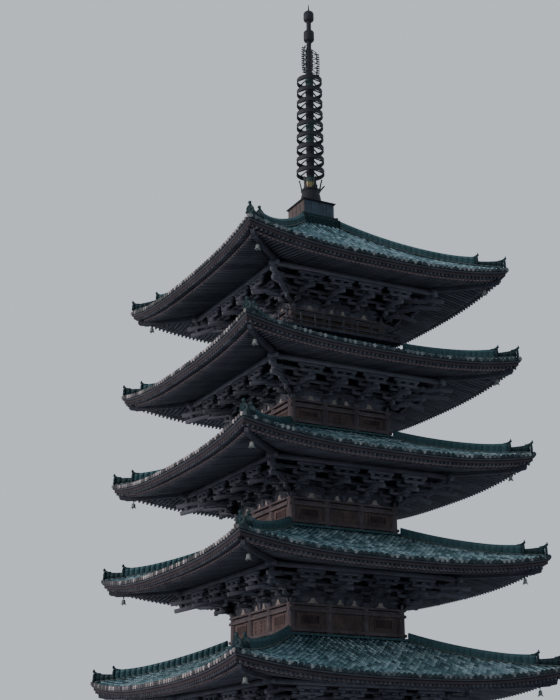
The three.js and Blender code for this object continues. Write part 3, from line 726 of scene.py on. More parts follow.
for storey, name in enumerate(STOREYS):
    rows = list(np.linspace(head_half[storey], eave_half[storey] - 0.02, 9))
    bed = eave_band(storey, rows, bed_top, bed_under)
    add_piece(f"{name}_roof_bed", bed, roof_clay, [f"{name}_roof_tiles"])
    lips = lay_eave_ends(storey, lip, shift=1, rise=0.004)
    # The lips take the dark bed clay rather than the tile finish: painted shade in the gaps between the
    # round ends.
    add_piece(f"{name}_roof_tile_lips", lips, roof_clay)
    covers = lay_tiles(storey, cover, shift=0.5, rise=0.018, overlap=0.006)
    add_piece(f"{name}_roof_cover_tiles", covers, roof_tile)
    pans = lay_tiles(storey, pan, shift=0, rise=0.006, overlap=0.008)
    add_piece(f"{name}_roof_pan_tiles", pans, roof_tile)
    # The left side's ends get the pale finish, painted light, and the other three sides get the dark one,
    # painted shade.
    *shaded_side_ends, sunlit_side_ends = lay_eave_ends(storey, disc, shift=0.5, rise=0.026)
    add_piece(f"{name}_roof_tile_ends", shaded_side_ends, shaded_end)
    add_piece(f"{name}_roof_sunlit_ends", [sunlit_side_ends], sunlit_end)
    faces = [sum(len(part[2]) for part in parts) for parts in (covers, pans)]
    print(name, "roof: faces of cover and pan tiles:", faces)

# %% [markdown]
# From below, the eaves show two layers of rafters. The lower ones rest on the outer purlin and
# end under a long strip, and the upper ones lie flatter on that strip and carry the roof's edge.
# Near the corners they are cut to the hip rafter and follow the rise of the eave, so a rafter is
# a cube that is subdivided along its length, and its vertices are moved onto the eave's curve.

# %% Rafter shape
RAFTER_PITCH = 0.1165
RAFTER_WIDTH = 0.046
LOWER_DEPTH = 0.055
UPPER_DEPTH = 0.07
LOWER_END = 0.295
UPPER_START = 0.345


def rafter(depth):
    bm = bmesh.new()
    block(bm, (0, -RAFTER_WIDTH / 2, 0), (1, RAFTER_WIDTH / 2, depth))
    lengthwise = [e for e in bm.edges if abs(e.verts[0].co.x - e.verts[1].co.x) > 0.5]
    bmesh.ops.subdivide_edges(bm, edges=lengthwise, cuts=2, use_grid_fill=True)
    return clean(bm)


def lay_rafters(storey, shape, first, last, line):
    """A layer of rafters on all four sides, each from the hip or the wall to the eave."""
    points = corners_of(shape)
    count = int(2 * last / RAFTER_PITCH)
    along = (np.arange(count) - (count - 1) / 2) * RAFTER_PITCH
    start = np.maximum(first, np.abs(along) + 0.03)
    keep = start < last - 0.06
    along, start = along[keep][:, None], start[keep][:, None]
    distance = start + (last - start) * points[:, 0]
    height = line(storey, distance, along) + points[:, 2]
    return on_four_sides(shape, along + points[:, 1], distance, height)


# %% [markdown]
# Boards lie on the rafters. At the edge a thick fascia and a thinner tile batten close them, and a
# strip, the kioi, lies on the lower rafters and carries the upper ones. All of them follow the
# eave's curve, so each is one ring made by the same helper as the tile bed.


# %% Eaves of all five roofs
BOARD_HEIGHTS = [0.37, 0.13, -0.035, -0.027]
# Inner and outer distance from the roof's edge, low and high from the eave line, and the finish
EDGE_BANDS = {
    # The kioi's pale pink finish is painted light.
    "kioi": (0.35, 0.295, -0.182, -0.125, sunlit_kioi_timber),
    "fascia": (0.17, 0.075, -0.138, -0.06, fascia_timber),
    "batten": (0.17, 0.035, -0.06, -0.024, rafter_timber),
}


def boards_under(storey, distance, along):
    lower = rafter_line(storey, distance, along) + LOWER_DEPTH
    upper = tip_line(storey, distance, along) + UPPER_DEPTH
    return np.where(distance > eave_half[storey] - KIOI_IN - 0.04, upper, lower)


def boards_top(storey, distance, along):
    wall, edge = wall_half[storey], eave_half[storey]
    places = [wall - WALL_IN, wall + PURLIN_OUT, edge - KIOI_IN, edge - TIP_IN]
    heights = [eave_height[storey] + up for up in BOARD_HEIGHTS]
    return np.interp(distance, places, heights) + eave_lift(storey, distance, along)


def level_band(storey, inner, outer, low, high):
    """A ring between two heights that are measured from the eave line."""

    def top(*place):
        return eave_height[storey] + high + eave_lift(*place)

    def under(*place):
        return eave_height[storey] + low + eave_lift(*place)

    edge = eave_half[storey]
    return eave_band(storey, [edge - inner, edge - outer], top, under)


lower_rafter, upper_rafter = rafter(LOWER_DEPTH), rafter(UPPER_DEPTH)
for storey, name in enumerate(STOREYS):
    wall, edge = wall_half[storey], eave_half[storey]
    step = edge - KIOI_IN - 0.04
    rows = [wall - WALL_IN, wall + PURLIN_OUT, step - 0.001, step + 0.001, edge - TIP_IN - 0.01]
    boards = eave_band(storey, rows, boards_top, boards_under)
    # The pale boards paint light into the shade between the rafters.
    add_piece(f"{name}_roof_boards", boards, fill_lit_board_timber, [f"{name}_roof_eaves"])
    lower = lay_rafters(storey, lower_rafter, wall + 0.05, edge - LOWER_END, rafter_line)
    upper = lay_rafters(storey, upper_rafter, edge - UPPER_START, edge - TIP_IN, tip_line)
    add_piece(f"{name}_roof_rafters", lower + upper, rafter_timber)
    for part, (*sizes, finish) in EDGE_BANDS.items():
        add_piece(f"{name}_roof_{part}", level_band(storey, *sizes), finish)
    print(name, "eaves:", len(lower[0][0]) // len(lower_rafter.verts) * 4, "lower rafters")

# %% [markdown]
# Under each hip a heavy timber carries the corner: its lower length ends with the lower rafters,
# and a slimmer length on top of it runs on towards the last tile. Each is an outline in the upright
# plane of the hip, extruded to its thickness. Its nose is cut to a shallow curve, as real ones are.

# %% Hip rafters
HIP_DROP, HIP_WIDTH = 0.1, 0.11
NOSE_DROP, NOSE_WIDTH = 0.085, 0.096
NOSE_IN = 0.19


def hip_height(storey, half):
    """Underside of the rafters on a hip."""
    return float(rafter_line(storey, half, half))


def hip_length(bm, quarter, storey, start, end, drop, thickness):
    """A length of hip rafter whose nose curves up."""
    halves = np.linspace(start, end - 0.02, 7)
    under = [(half, hip_height(storey, half) - drop) for half in halves]
    tip = hip_height(storey, end)
    nose = [(end - 0.006, tip - 0.82 * drop), (end, tip - 0.55 * drop), (end, tip + 0.02)]
    top = [(half, hip_height(storey, half) + 0.03) for half in halves[::-1]]
    outline = [(half * math.sqrt(2), height) for half, height in under + nose + top]
    plate(bm, outline, thickness, quarter_turn(quarter + 0.5))


for storey, name in enumerate(STOREYS):
    wall, edge = wall_half[storey], eave_half[storey]
    bm = bmesh.new()
    for quarter in range(4):
        hip_length(bm, quarter, storey, wall - 0.1, edge - LOWER_END, HIP_DROP, HIP_WIDTH)
        hip_length(bm, quarter, storey, edge - 0.5, edge - NOSE_IN, NOSE_DROP, NOSE_WIDTH)
    add_piece(f"{name}_roof_hip_rafters", clean(bm), hip_timber)
print("hip rafters: two lengths at each of", 4 * len(STOREYS), "corners")

# %% [markdown]
# A ridge runs down each hip. It is a wall of thin tiles laid in courses, each course a little
# narrower, with a row of round tiles on top and a bed of mortar under it. A short length of it,
# about as long as a tile, is an outline with a saw-tooth edge for the courses, extruded; copies
# follow the hip. The joints between lengths stay open by a millimetre, so that they hardly show.
# The same lengths, laid level, make the courses under the spire and at the walls.

# %% Ridge lengths
RIDGE_PIECE = 0.15
RIDGE_BASE = 0.05
JOINT = 0.006
Ridge = namedtuple("Ridge", "half courses height roll rise", defaults=[0])
MAIN = Ridge(0.085, 5, 0.165, 0.045, rise=0.04)
LOW = Ridge(0.07, 3, 0.09, 0.04, rise=0.08)
BEDDING = Ridge(0.1, 1, 0.008, 0.01)
AGAINST_WALL = Ridge(0.06, 1, 0.015, 0.025)


def ridge_length(kind):
    bm = bmesh.new()
    step = kind.height / kind.courses
    side = []
    for course in range(kind.courses):
        half = kind.half - 0.004 * course
        side += [(half, course * step - 0.02 * (course == 0)), (half - 0.012, (course + 1) * step)]
    arc = [k * math.pi / 6 for k in range(7)]
    roll = [(kind.roll * math.cos(a), kind.height + kind.roll * math.sin(a)) for a in arc]
    outline = side + roll + [(-x, z) for x, z in side[::-1]]
    plate(bm, outline, 1 - JOINT, at(y=(1 - JOINT) / 2))
    return clean(bm)


def ridge_steps(start, end, length):
    """The ends of the pieces that fill a stretch of this length."""
    edges = np.linspace(start, end, round(length / RIDGE_PIECE) + 1)
    return edges[:-1, None], edges[1:, None]


def lay_ridge(storey, kind, start, end):
    """Lengths of ridge on the four hips, rising a little towards the end."""
    shape = ridge_length(kind)
    x, y, z = corners_of(shape).T
    first, last = ridge_steps(start, end, (end - start) * math.sqrt(2))
    out = first + (last - first) * y
    foot, head = roof_line(storey, first, first), roof_line(storey, last, last)
    base = foot + (head - foot) * y + RIDGE_BASE
    near = np.clip(1 - (end - out) / 0.6, 0, 1) ** 2
    lift = 1 + near * kind.rise / (kind.height + kind.roll)
    return [copies(shape, on_hip(quarter, out, -x, base + z * lift)) for quarter in range(4)]


def lay_courses(kind, middle, foot):
    """Lengths of ridge laid level round a square."""
    shape = ridge_length(kind)
    x, y, z = corners_of(shape).T
    reach = middle + kind.half
    first, last = ridge_steps(-reach, reach, 2 * reach)
    return on_four_sides(shape, first + (last - first) * y, middle + x, foot + z)


print("a length of the main ridge has", len(ridge_length(MAIN).faces), "faces")


# %% [markdown]
# Each ridge ends in an ogre tile, here a plain shield with sloping shoulders and a raised boss.
# Above it the last round tile sweeps up, slimmer and slimmer, to a round disc that faces outwards
# and a little upwards. The shield is an outline with its face inset, and the long tile is a row of
# circles bridged along a curve.

# %% Ridge ends
MAIN_END = 0.81
LOW_END = 0.9715
SHIELD = [(0.1, 0), (0.115, 0.012), (0.115, 0.04), (0.09, 0.07), (0.096, 0.1)]
SHOULDER = [(0.098, -0.1), (0.082, -0.05), (0.05, -0.012), (0.02, 0)]
# The long tile's places outwards, its heights over the crest, and its radii
HORN = [
    (-0.12, -0.032, 0.042), (-0.05, -0.026, 0.042), (0, -0.01, 0.04),
    (0.032, 0.012, 0.036), (0.053, 0.034, 0.032), (0.066, 0.052, 0.03),
]


def ridge_end(crest):
    """An ogre tile and its horn, facing along x, for a ridge with its crest this high."""
    bm = bmesh.new()
    top = crest + 0.01
    right = SHIELD + [(y, top + z) for y, z in SHOULDER]
    plate(bm, right + [(-y, z) for y, z in right[::-1]], 0.045, at(0.042) @ quarter_turn(1))
    front = max(bm.faces, key=lambda f: f.calc_center_median().x)
    bmesh.ops.inset_region(bm, faces=[front], thickness=0.014)
    move(bm, at(-0.01), front.verts[:])
    flat = Matrix.Diagonal((0.5, 1, 1, 1))
    bmesh.ops.create_icosphere(bm, subdivisions=2, radius=0.042, matrix=at(0.056, 0, 0.5 * top) @ flat)
    for side in (-1, 1):
        curl = at(0.056, side * 0.07, 0.045) @ flat
        bmesh.ops.create_icosphere(bm, subdivisions=1, radius=0.028, matrix=curl)
    tube(bm, [(x, 0, crest + z) for x, z, _ in HORN], [radius for _, _, radius in HORN], 10)
    tilt = Matrix.Rotation(math.radians(75), 4, "Y")
    drum(bm, 16, 0.04, 0.046, 0.026, at(0.075, 0, crest + 0.06) @ tilt)
    return soften(clean(bm))


def corner_tile():
    """The round tile that ends a hip, its face on x = 0."""
    bm = bmesh.new()
    drum(bm, 14, 0.044, 0.05, 0.16, at(-0.08) @ quarter_turn(1, "Y"))
    return clean(bm)


def at_hip(quarter, half, height):
    return at(*on_hip(quarter, half, 0.0, height)) @ quarter_turn(quarter + 0.5)


end_shapes = [ridge_end(kind.height + kind.roll + kind.rise) for kind in (MAIN, LOW)]
last_tile = corner_tile()
print("a ridge end has", len(end_shapes[0].faces), "faces")

# %% Ridges of all five roofs
# They start beside the walls, under the veranda, and under the courses that carry the square box
starts = [half + 0.03 for half in head_half[:3]] + [1.74, 0.6]
for storey, name in enumerate(STOREYS):
    head, edge = head_half[storey], eave_half[storey]
    main_end, low_end = head + MAIN_END * (edge - head), LOW_END * edge
    lengths = lay_ridge(storey, MAIN, starts[storey], main_end)
    low_lengths = lay_ridge(storey, LOW, main_end + 0.01, low_end)
    bedding = lay_ridge(storey, BEDDING, starts[storey], low_end)
    if storey < TOP:
        foot = float(roof_line(storey, head, 0)) + RIDGE_BASE
        lengths += lay_courses(AGAINST_WALL, head + AGAINST_WALL.half, foot)
    add_piece(f"{name}_roof_hip_ridges", lengths, ridge_tile, [f"{name}_roof_ridges"])
    add_piece(f"{name}_roof_ridge_bedding", bedding, mortar)
    ends = []
    for quarter in range(4):
        for shape, half in zip(end_shapes, (main_end, low_end)):
            foot = float(roof_line(storey, half, half)) + RIDGE_BASE
            ends.append(moved(shape, [at_hip(quarter, half, foot)]))
        tip = float(roof_line(storey, edge, edge)) + 0.02
        ends.append(moved(last_tile, [at_hip(quarter, edge - 0.035, tip)]))
    # The ridge ends and low ridges take the darker tile: painted shade.
    add_piece(f"{name}_roof_ridge_ends", ends + low_lengths, shaded_ridge_tile)
print("ridges: two steps on each hip,", len(lengths), "runs on the top roof")

# %% [markdown]
# The deep eaves are carried by brackets. On each column stands a large bearing block; from it arms
# reach outwards in two steps, each carrying small blocks, the next arm and a long beam, and a
# slanting tail rafter runs out over them to a third step, where it holds up the outer purlin. One
# set is modelled from blocks and plates with rounded arm ends, and its copies are turned to every
# column. At a corner two sets cross, and a third with longer arms stands on the diagonal.

# %% A bracket set
STEP = 0.34
ARM, ARM_DEPTH = 0.08, 0.075
BEARING, BEARING_DEPTH = 0.1, 0.06
LEVELS = [0.12, 0.255, 0.39]
TAIL_TIP = 1.16
# Feet of what the tail rafter carries: block, arm, small blocks, bed of the purlin and the purlin
TAIL_BLOCK, TAIL_ARM, TAIL_SMALL, PURLIN_BED, PURLIN_FOOT = 0.325, 0.41, 0.485, 0.545, 0.628


def bearing_block(bm, x, y, z, size=BEARING, depth=BEARING_DEPTH):
    """A bearing block, whose lower half narrows to its foot."""
    half, middle = size / 2, z + depth * 0.45
    block(bm, (x - half, y - half, z), (x + half, y + half, middle), foot_scale=0.7)
    block(bm, (x - half, y - half, middle), (x + half, y + half, z + depth))


def bracket_arm(bm, x, half, z, along_y, start=None):
    """An arm with rounded undersides at its ends, running outwards or along the wall."""
    right = [(half, 1), (half, 0.5), (half - 0.012, 0.25), (half - 0.04, 0.08), (half - 0.08, 0)]
    left = [(-u, v) for u, v in right[::-1]] if start is None else [(start, 0), (start, 1)]
    outline = [(u, z + v * ARM_DEPTH) for u, v in right + left]
    plate(bm, outline, ARM, at(x) @ quarter_turn(1 if along_y else 0))


def bracket_set(stretch=1.0, diagonal=False):
    """A set that reaches along x, or the plainer one on the diagonal of a corner."""
    bm = bmesh.new()
    outer = PURLIN_OUT * stretch
    block(bm, (-0.1, -0.1, 0), (0.1, 0.1, 0.055), foot_scale=0.7)
    block(bm, (-0.1, -0.1, 0.055), (0.1, 0.1, LEVELS[0]))
    for level, z in enumerate(LEVELS[:2]):
        reach = STEP * (level + 1) * stretch
        bracket_arm(bm, 0, reach + 0.06, z, False, -0.1)
        bearing_block(bm, reach, 0, z + ARM_DEPTH)
        for step in range(0 if diagonal else level + 1):
            half = 0.3 + 0.09 * (level - step)
            bracket_arm(bm, STEP * step, half, z, True)
            for side in (-1, 1):
                bearing_block(bm, STEP * step, side * (half - 0.05), z + ARM_DEPTH)
    bar(bm, (-0.05, 0, 0.545), (TAIL_TIP * stretch, 0, 0.24), 0.085, 0.1)
    bearing_block(bm, outer, 0, TAIL_BLOCK, 0.12, 0.085)
    if diagonal:
        bracket_arm(bm, outer, 0.16, TAIL_ARM, False)
        bearing_block(bm, outer, 0, TAIL_SMALL)
        block(bm, (outer - 0.05, -0.05, PURLIN_BED), (outer + 0.05, 0.05, PURLIN_FOOT))
        bar(bm, (-0.05, 0, 0.66), (outer + 0.3, 0, 0.43), 0.085, 0.1)
        return clean(bm)
    for x, z in ((2 * STEP, LEVELS[2]), (outer, TAIL_ARM)):
        bracket_arm(bm, x, 0.3, z, True)
        for side in (-1, 0, 1):
            bearing_block(bm, x, side * 0.25, z + ARM_DEPTH)
    block(bm, (outer - 0.04, -0.36, PURLIN_BED), (outer + 0.04, 0.36, PURLIN_FOOT))
    return clean(bm)


side_set, corner_set = bracket_set(), bracket_set(math.sqrt(2), True)
print("faces of a set on a side and at a corner:", len(side_set.faces), len(corner_set.faces))


# %% [markdown]
# Long beams tie the sets together, two above the wall and one on each step, and the square outer
# purlin runs right round under the rafters. Behind them the wall is boarded, and low on it small
# plaster panels show, with hollow sides where they meet the brackets. In the middle bay a strut
# parts the panel in two.

# %% Brackets, beams and purlins of all five storeys
# Each beam's distance from the wall, its foot and top, its width, and how far it passes the corner
BEAMS = [
    (0, 0.39, 0.47, 0.08, 0.1), (0, 0.53, 0.61, 0.08, 0), (0, 0.005, 0.395, 0.04, 0),
    (STEP, 0.39, 0.465, 0.075, 0.1), (2 * STEP, 0.525, 0.6, 0.075, 0.1),
    (PURLIN_OUT, PURLIN_FOOT, 0.738, 0.1, 0.16),
]


def bracket_places(storey):
    """Matrices of the sets on columns, and of the diagonal ones on corners."""
    wall = wall_half[storey]
    foot = eave_height[storey] - BRACKET_HEIGHT
    sets, corners = [], []
    for quarter in range(4):
        turn = quarter_turn(quarter)
        sets += [turn @ at(wall, along, foot) for along in (-wall, -wall / 3, wall / 3, wall)]
        corners.append(turn @ (at(wall, wall, foot) @ quarter_turn(0.5)))
    return sets, corners


def plaster_panel(half):
    """A panel with hollow sides, its foot on z = 0, facing along -y."""
    bm = bmesh.new()
    curve = [(1, 0), (0.62, 0.022), (0.42, 0.05), (0.32, 0.09), (0.28, 0.13)]
    right = [(share * half, z) for share, z in curve]
    plate(bm, right + [(-x, z) for x, z in right[::-1]], 0.02)
    return clean(bm)


def on_walls(storey, shape, share, height):
    """Copies on all four walls of a storey, at shares of the half-wall to the left and right."""
    wall = wall_half[storey]
    places = [-share * wall, share * wall] if share else [0]
    turns = [quarter_turn(quarter) for quarter in range(4)]
    return moved(shape, [turn @ at(x, -wall - 0.03, height) for turn in turns for x in places])


wide_panel, narrow_panel, strut = plaster_panel(0.18), plaster_panel(0.125), bmesh.new()
block(strut, (-0.045, -0.02, 0), (0.045, 0.02, 0.2), foot_scale=1.3)
for storey, name in enumerate(STOREYS):
    wall, foot = wall_half[storey], eave_height[storey] - BRACKET_HEIGHT
    sets, corners = bracket_places(storey)
    beams = bmesh.new()
    for out, low, high, width, overhang in BEAMS:
        ring_of_bars(beams, wall + out, foot + low, foot + high, width, overhang)
    parts = [moved(side_set, sets), moved(corner_set, corners), moved(beams, [at()])]
    parts.append(on_walls(storey, strut, 0, foot + 0.01))
    add_piece(f"{name}_bracket_sets", parts, dark_timber, [f"{name}_storey_brackets"])
    wide = on_walls(storey, wide_panel, 0.62, foot + 0.012)
    narrow = on_walls(storey, narrow_panel, 0.13, foot + 0.012)
    add_piece(f"{name}_plaster_panels", [wide, narrow], plaster)
print("bracket sets:", len(sets + corners), "on a storey")

# %% [markdown]
# A storey's body is a frame of round columns and squared ties, closed by upright planks, with a
# pair of doors in the middle bay and a window of close upright bars in each side bay. Columns are
# cones of one radius with their edges kept sharp only at the ends; planks and bars are blocks in a
# row. The upper storeys repeat the first at a smaller height, since the photograph shows so little.

# %% Planks, windows and doors
def planks(bm, left, right, low, high, face, width=0.12, gap=0.004, thickness=0.03):
    """Upright boards side by side, their face towards the front."""
    for a, b in divided(left, right, max(1, round((right - left) / width))):
        block(bm, (a + gap / 2, face, low), (b - gap / 2, face + thickness, high))


def lattice(bm, left, right, low, high, face):
    """A window's frame and its upright bars."""
    for a, b in ((left - 0.03, left), (right, right + 0.03)):
        block(bm, (a, face - 0.015, low - 0.03), (b, face + 0.03, high + 0.03))
    for a, b in ((low - 0.03, low), (high, high + 0.03)):
        block(bm, (left, face - 0.015, a), (right, face + 0.03, b))
    for a, b in divided(left, right, round((right - left) / 0.034)):
        x, y = (a + b) / 2, face + 0.008
        verts = block(bm, (x - 0.008, y - 0.008, low), (x + 0.008, y + 0.008, high))
        bmesh.ops.rotate(bm, cent=(x, y, 0), matrix=quarter_turn(0.5), verts=verts)


def door_leaf(bm, left, right, low, high, face):
    """A plank leaf with its rails and stiles in front."""
    planks(bm, left, right, low, high, face, 0.085, 0.003, 0.02)
    for a, b in ((left, left + 0.035), (right - 0.035, right)):
        block(bm, (a, face - 0.012, low), (b, face, high))
    for z in np.linspace(low, high - 0.04, 4):
        block(bm, (left + 0.035, face - 0.012, z), (right - 0.035, face, z + 0.04))


# %% Bodies of all five storeys
WINDOW_HALF = 0.26
FIRST_FLOOR = 0.6
floors = [FIRST_FLOOR] + [float(boards_top(i, wall_half[i + 1] - 0.1, 0.0)) for i in range(TOP)]
for storey, name in enumerate(STOREYS):
    wall, radius, floor_height = wall_half[storey], column_radius[storey], floors[storey]
    head, bay = eave_height[storey] - BRACKET_HEIGHT, wall / 3
    if storey == 0:
        shown, door, window, half = floor_height, (0.77, 1.98), (1.25, 1.9), 0.34
        ties = [0.68, 1.99, 1.2]
    else:
        shown = float(roof_line(storey - 1, head_half[storey - 1], 0.0)) + 0.1
        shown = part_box("veranda_floor")[1].z if storey == TOP else shown
        door, half = (shown + 0.11, head - 0.22), 0.3
        window = door[0] + 0.08, door[1] - 0.03
        ties = [shown + 0.03, head - 0.2]

    def frame_side(bm):
        for along in (-wall, -bay, bay):
            middle = at(along, -wall, (floor_height + head) / 2)
            drum(bm, 20, radius, radius, head - floor_height, middle)
        for low, high, out in ((head - 0.05, head, 0.11), (head - 0.16, head - 0.07, 0.045)):
            block(bm, (-wall - 0.09, -wall - out, low), (wall - out, -wall + out, high))
        face = -wall - radius
        for z in ties:
            block(bm, (face, face - 0.012, z), (wall, face + 0.05, z + 0.07))

    def skin_side(bm):
        face, top = -wall - 0.03, head - 0.16
        for centre in (-2 * bay, 2 * bay):
            left, right = centre - WINDOW_HALF, centre + WINDOW_HALF
            planks(bm, centre - bay, left, floor_height, top, face)
            planks(bm, right, centre + bay, floor_height, top, face)
            planks(bm, left, right, floor_height, window[0], face)
            planks(bm, left, right, window[1], top, face)
            lattice(bm, left + 0.03, right - 0.03, window[0] + 0.03, window[1] - 0.03, face)
        for a, b in ((-bay, -half), (half, bay)):
            planks(bm, a, b, floor_height, top, face)
        planks(bm, -half, half, door[1], top, face)
        planks(bm, -half, half, floor_height, door[0], face)
        for a, b in ((-half, -0.004), (0.004, half)):
            door_leaf(bm, a, b, *door, face + 0.01)

    timbers, skin, dark = bmesh.new(), bmesh.new(), bmesh.new()
    around(timbers, frame_side)
    around(skin, skin_side)
    if storey:
        ring_of_bars(dark, wall - 0.015, shown, head - 0.05, 0.02)
        add_piece(f"{name}_storey_shade", clean(dark), dark_timber)
    replaced = [f"{name}_storey_body"]
    add_piece(f"{name}_storey_frame", soften(timbers, 0.5), post_timber, replaced)
    doors = [f"{side}_doors" for side in SIDES] if storey == 0 else []
    add_piece(f"{name}_storey_walls", clean(skin), door_timber, doors)
    print(name, "storey: walls from", round(shown, 2), "to", round(head, 2), "m")

# %% [markdown]
# The top storey has a walk all round, with a railing whose rails cross at the corners and run past
# each other. The top rail is round and its ends sweep up a little; the lower two are squared.

# %% Veranda and railing
veranda_low, veranda_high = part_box("veranda_floor")
rail_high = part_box("veranda_balustrade")[1].z
RAIL_HALF = 1.65
RAIL_REACH = RAIL_HALF + 0.13
SLAB = 0.03
POSTS = 8


def veranda_side(bm):
    outer, top = veranda_high.x, veranda_high.z
    for a, b in divided(-outer, outer, round(2 * outer / 0.11)):
        inner = -max(1.4, min(abs(a), abs(b)))
        if inner > -outer + 0.02:
            block(bm, (a + 0.002, -outer, top - SLAB), (b - 0.002, inner, top))
    block(bm, (-outer, -outer + 0.01, veranda_low.z), (outer - 0.05, -outer + 0.05, top - SLAB))


def rail_side(bm):
    floor_z, top = veranda_high.z, rail_high - 0.02
    for low, high in ((0.0, 0.04), (0.12, 0.15)):
        start = (-RAIL_REACH, -RAIL_HALF - 0.02, floor_z + low)
        block(bm, start, (RAIL_REACH, -RAIL_HALF + 0.02, floor_z + high))
    path = [(-RAIL_REACH, 0.012), (-RAIL_HALF, 0), (0, 0), (RAIL_HALF, 0), (RAIL_REACH, 0.012)]
    tube(bm, [(x, -RAIL_HALF, top + up) for x, up in path], [0.017, 0.019, 0.019, 0.019, 0.017], 10)
    for k, (x, _) in enumerate(divided(-RAIL_HALF, RAIL_HALF, POSTS)):
        wide, high = (0.014, floor_z + 0.3) if k % 4 else (0.02, top)
        block(bm, (x - wide, -RAIL_HALF - wide, floor_z + 0.04), (x + wide, -RAIL_HALF + wide, high))
        if k % 4:
            bearing_block(bm, x, -RAIL_HALF, high, 0.05, top - floor_z - 0.315)


floor_boards, railing = bmesh.new(), bmesh.new()
around(floor_boards, veranda_side)
around(railing, rail_side)
add_piece("veranda_boards", clean(floor_boards), dark_timber, ["veranda_floor"])
add_piece("veranda_railing", soften(clean(railing), 0.5), dark_timber, ["veranda_balustrade"])
print("railing", round(rail_high - veranda_high.z, 2), "m high")

# %% [markdown]
# The pagoda stands on a platform of dressed granite: a footing course, upright slabs between
# posts, and a coping that oversails them, with a flight of steps on each side. Every stone is a
# block with bevelled edges, so that the joints between stones show as fine dark lines.

# %% Stone platform
STONE_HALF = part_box("stone_platform")[1].x
STONE_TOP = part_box("stone_platform")[1].z
FOOTING, COPING = 0.09, 0.45
PAVING = 8
STONE_BEVEL = 0.008


def stones(bm, left, right, low, high, face, depth, width):
    """A course of stones along the front side, jointed every width or so."""
    for a, b in divided(left, right, max(1, round((right - left) / width))):
        block(bm, (a + 0.002, face, low), (b - 0.002, face + depth, high), bevel=STONE_BEVEL)


def platform_side(bm):
    outer, under = STONE_HALF, STONE_TOP - FOOTING
    stones(bm, -outer, outer - 0.4, 0, FOOTING, -outer, 0.4, 0.88)
    stones(bm, -outer, outer - COPING, under, STONE_TOP, -outer, COPING, 0.9)
    stones(bm, -outer + 0.05, outer - 0.13, FOOTING, under, -outer + 0.06, 0.08, 0.64)
    for x, _ in divided(-outer + 0.11, outer - 0.11, 8):
        start = (x - 0.06, -outer + 0.045, FOOTING)
        block(bm, start, (x + 0.06, -outer + 0.12, under), bevel=0.006)


platform_bm = bmesh.new()
around(platform_bm, platform_side)
inner = STONE_HALF - COPING
for a, b in divided(-inner, inner, PAVING):
    for c, d in divided(-inner, inner, PAVING):
        start = (a + 0.002, c + 0.002, STONE_TOP - 0.06)
        block(platform_bm, start, (b - 0.002, d - 0.002, STONE_TOP - 0.003), bevel=0.005)
block(platform_bm, (-inner, -inner, 0.0), (inner, inner, STONE_TOP - 0.062))
add_piece("platform_stones", clean(platform_bm), granite, ["stone_platform"])
print("platform", round(2 * STONE_HALF, 2), "m square and", round(STONE_TOP, 2), "m high")

# %% Steps
STEP_COUNT = 5
TREAD = 0.15
STEP_HALF = 0.55
for quarter, side in enumerate(SIDES):
    reach = max(abs(place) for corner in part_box(f"{side}_steps") for place in corner.xy)
    bm = bmesh.new()
    face = -STONE_HALF - 0.003
    rise = STONE_TOP / (STEP_COUNT + 1)
    for k, (low, high) in enumerate(divided(0, STEP_COUNT * rise, STEP_COUNT)):
        out = face - (STEP_COUNT - k) * TREAD
        stones(bm, -STEP_HALF, STEP_HALF, low + 0.002, high, out, face - out, 0.56)
    slope = [(face, STONE_TOP), (-reach, FOOTING), (-reach, 0.0), (face, 0.0)]
    for x in (-STEP_HALF - 0.055, STEP_HALF + 0.055):
        plate(bm, slope, 0.105, at(x) @ quarter_turn(1))
    move(bm, quarter_turn(quarter))
    add_piece(f"{side}_stone_steps", clean(bm), granite, [f"{side}_steps"])
print("steps:", STEP_COUNT, "on each side")

# %% [markdown]
# The spire stands on a square box of sheet copper, and the box on courses of ridge tiles, wider
# below than above. The box's walls are plain sheets with narrow standing joints, under a thin plate
# that oversails them. All of it is blocks, and the sheets and the plate have fine bevels, because a
# sheet's edge is never quite sharp.

# %% Square box under the spire
box_low, box_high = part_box("spire_square_box")
SPIRE_FOOT = box_high.z
BOX_HALF = 0.466
BOX_TOP = SPIRE_FOOT - 0.04
courses = lay_courses(Ridge(0.055, 6, 0.19, 0.035), 0.55, box_low.z - 0.255)
courses += lay_courses(Ridge(0.045, 2, 0.06, 0.03), 0.51, box_low.z - 0.03)
# The courses take the darker tile: painted shade.
add_piece("courses_under_box", courses, shaded_ridge_tile)


def box_side(bm):
    sheets = divided(-BOX_HALF, BOX_HALF, 4)
    for a, b in sheets:
        start = (a + 0.002, -BOX_HALF, box_low.z)
        block(bm, start, (b - 0.002, -BOX_HALF + 0.03, BOX_TOP), bevel=0.003)
    for x, _ in sheets[1:]:
        block(bm, (x - 0.006, -BOX_HALF - 0.006, box_low.z), (x + 0.006, -BOX_HALF, BOX_TOP))


def plate_side(bm):
    for low, high, out in ((0.05, 0.036, 0.48), (0.036, 0.024, 0.494), (0.024, 0.0, 0.51)):
        start = (-out, -out, SPIRE_FOOT - low)
        block(bm, start, (out - 0.06, -out + 0.06, SPIRE_FOOT - high), bevel=0.003)


box_bm, plates_bm = bmesh.new(), bmesh.new()
around(box_bm, box_side)
around(plates_bm, plate_side)
block(plates_bm, (-0.47, -0.47, SPIRE_FOOT - 0.03), (0.47, 0.47, SPIRE_FOOT - 0.002))
add_piece("spire_box", clean(box_bm), copper_sheet, ["spire_square_box"])
add_piece("spire_box_plate", clean(plates_bm), bronze)
print("box", round(box_high.z - box_low.z, 2), "m high")

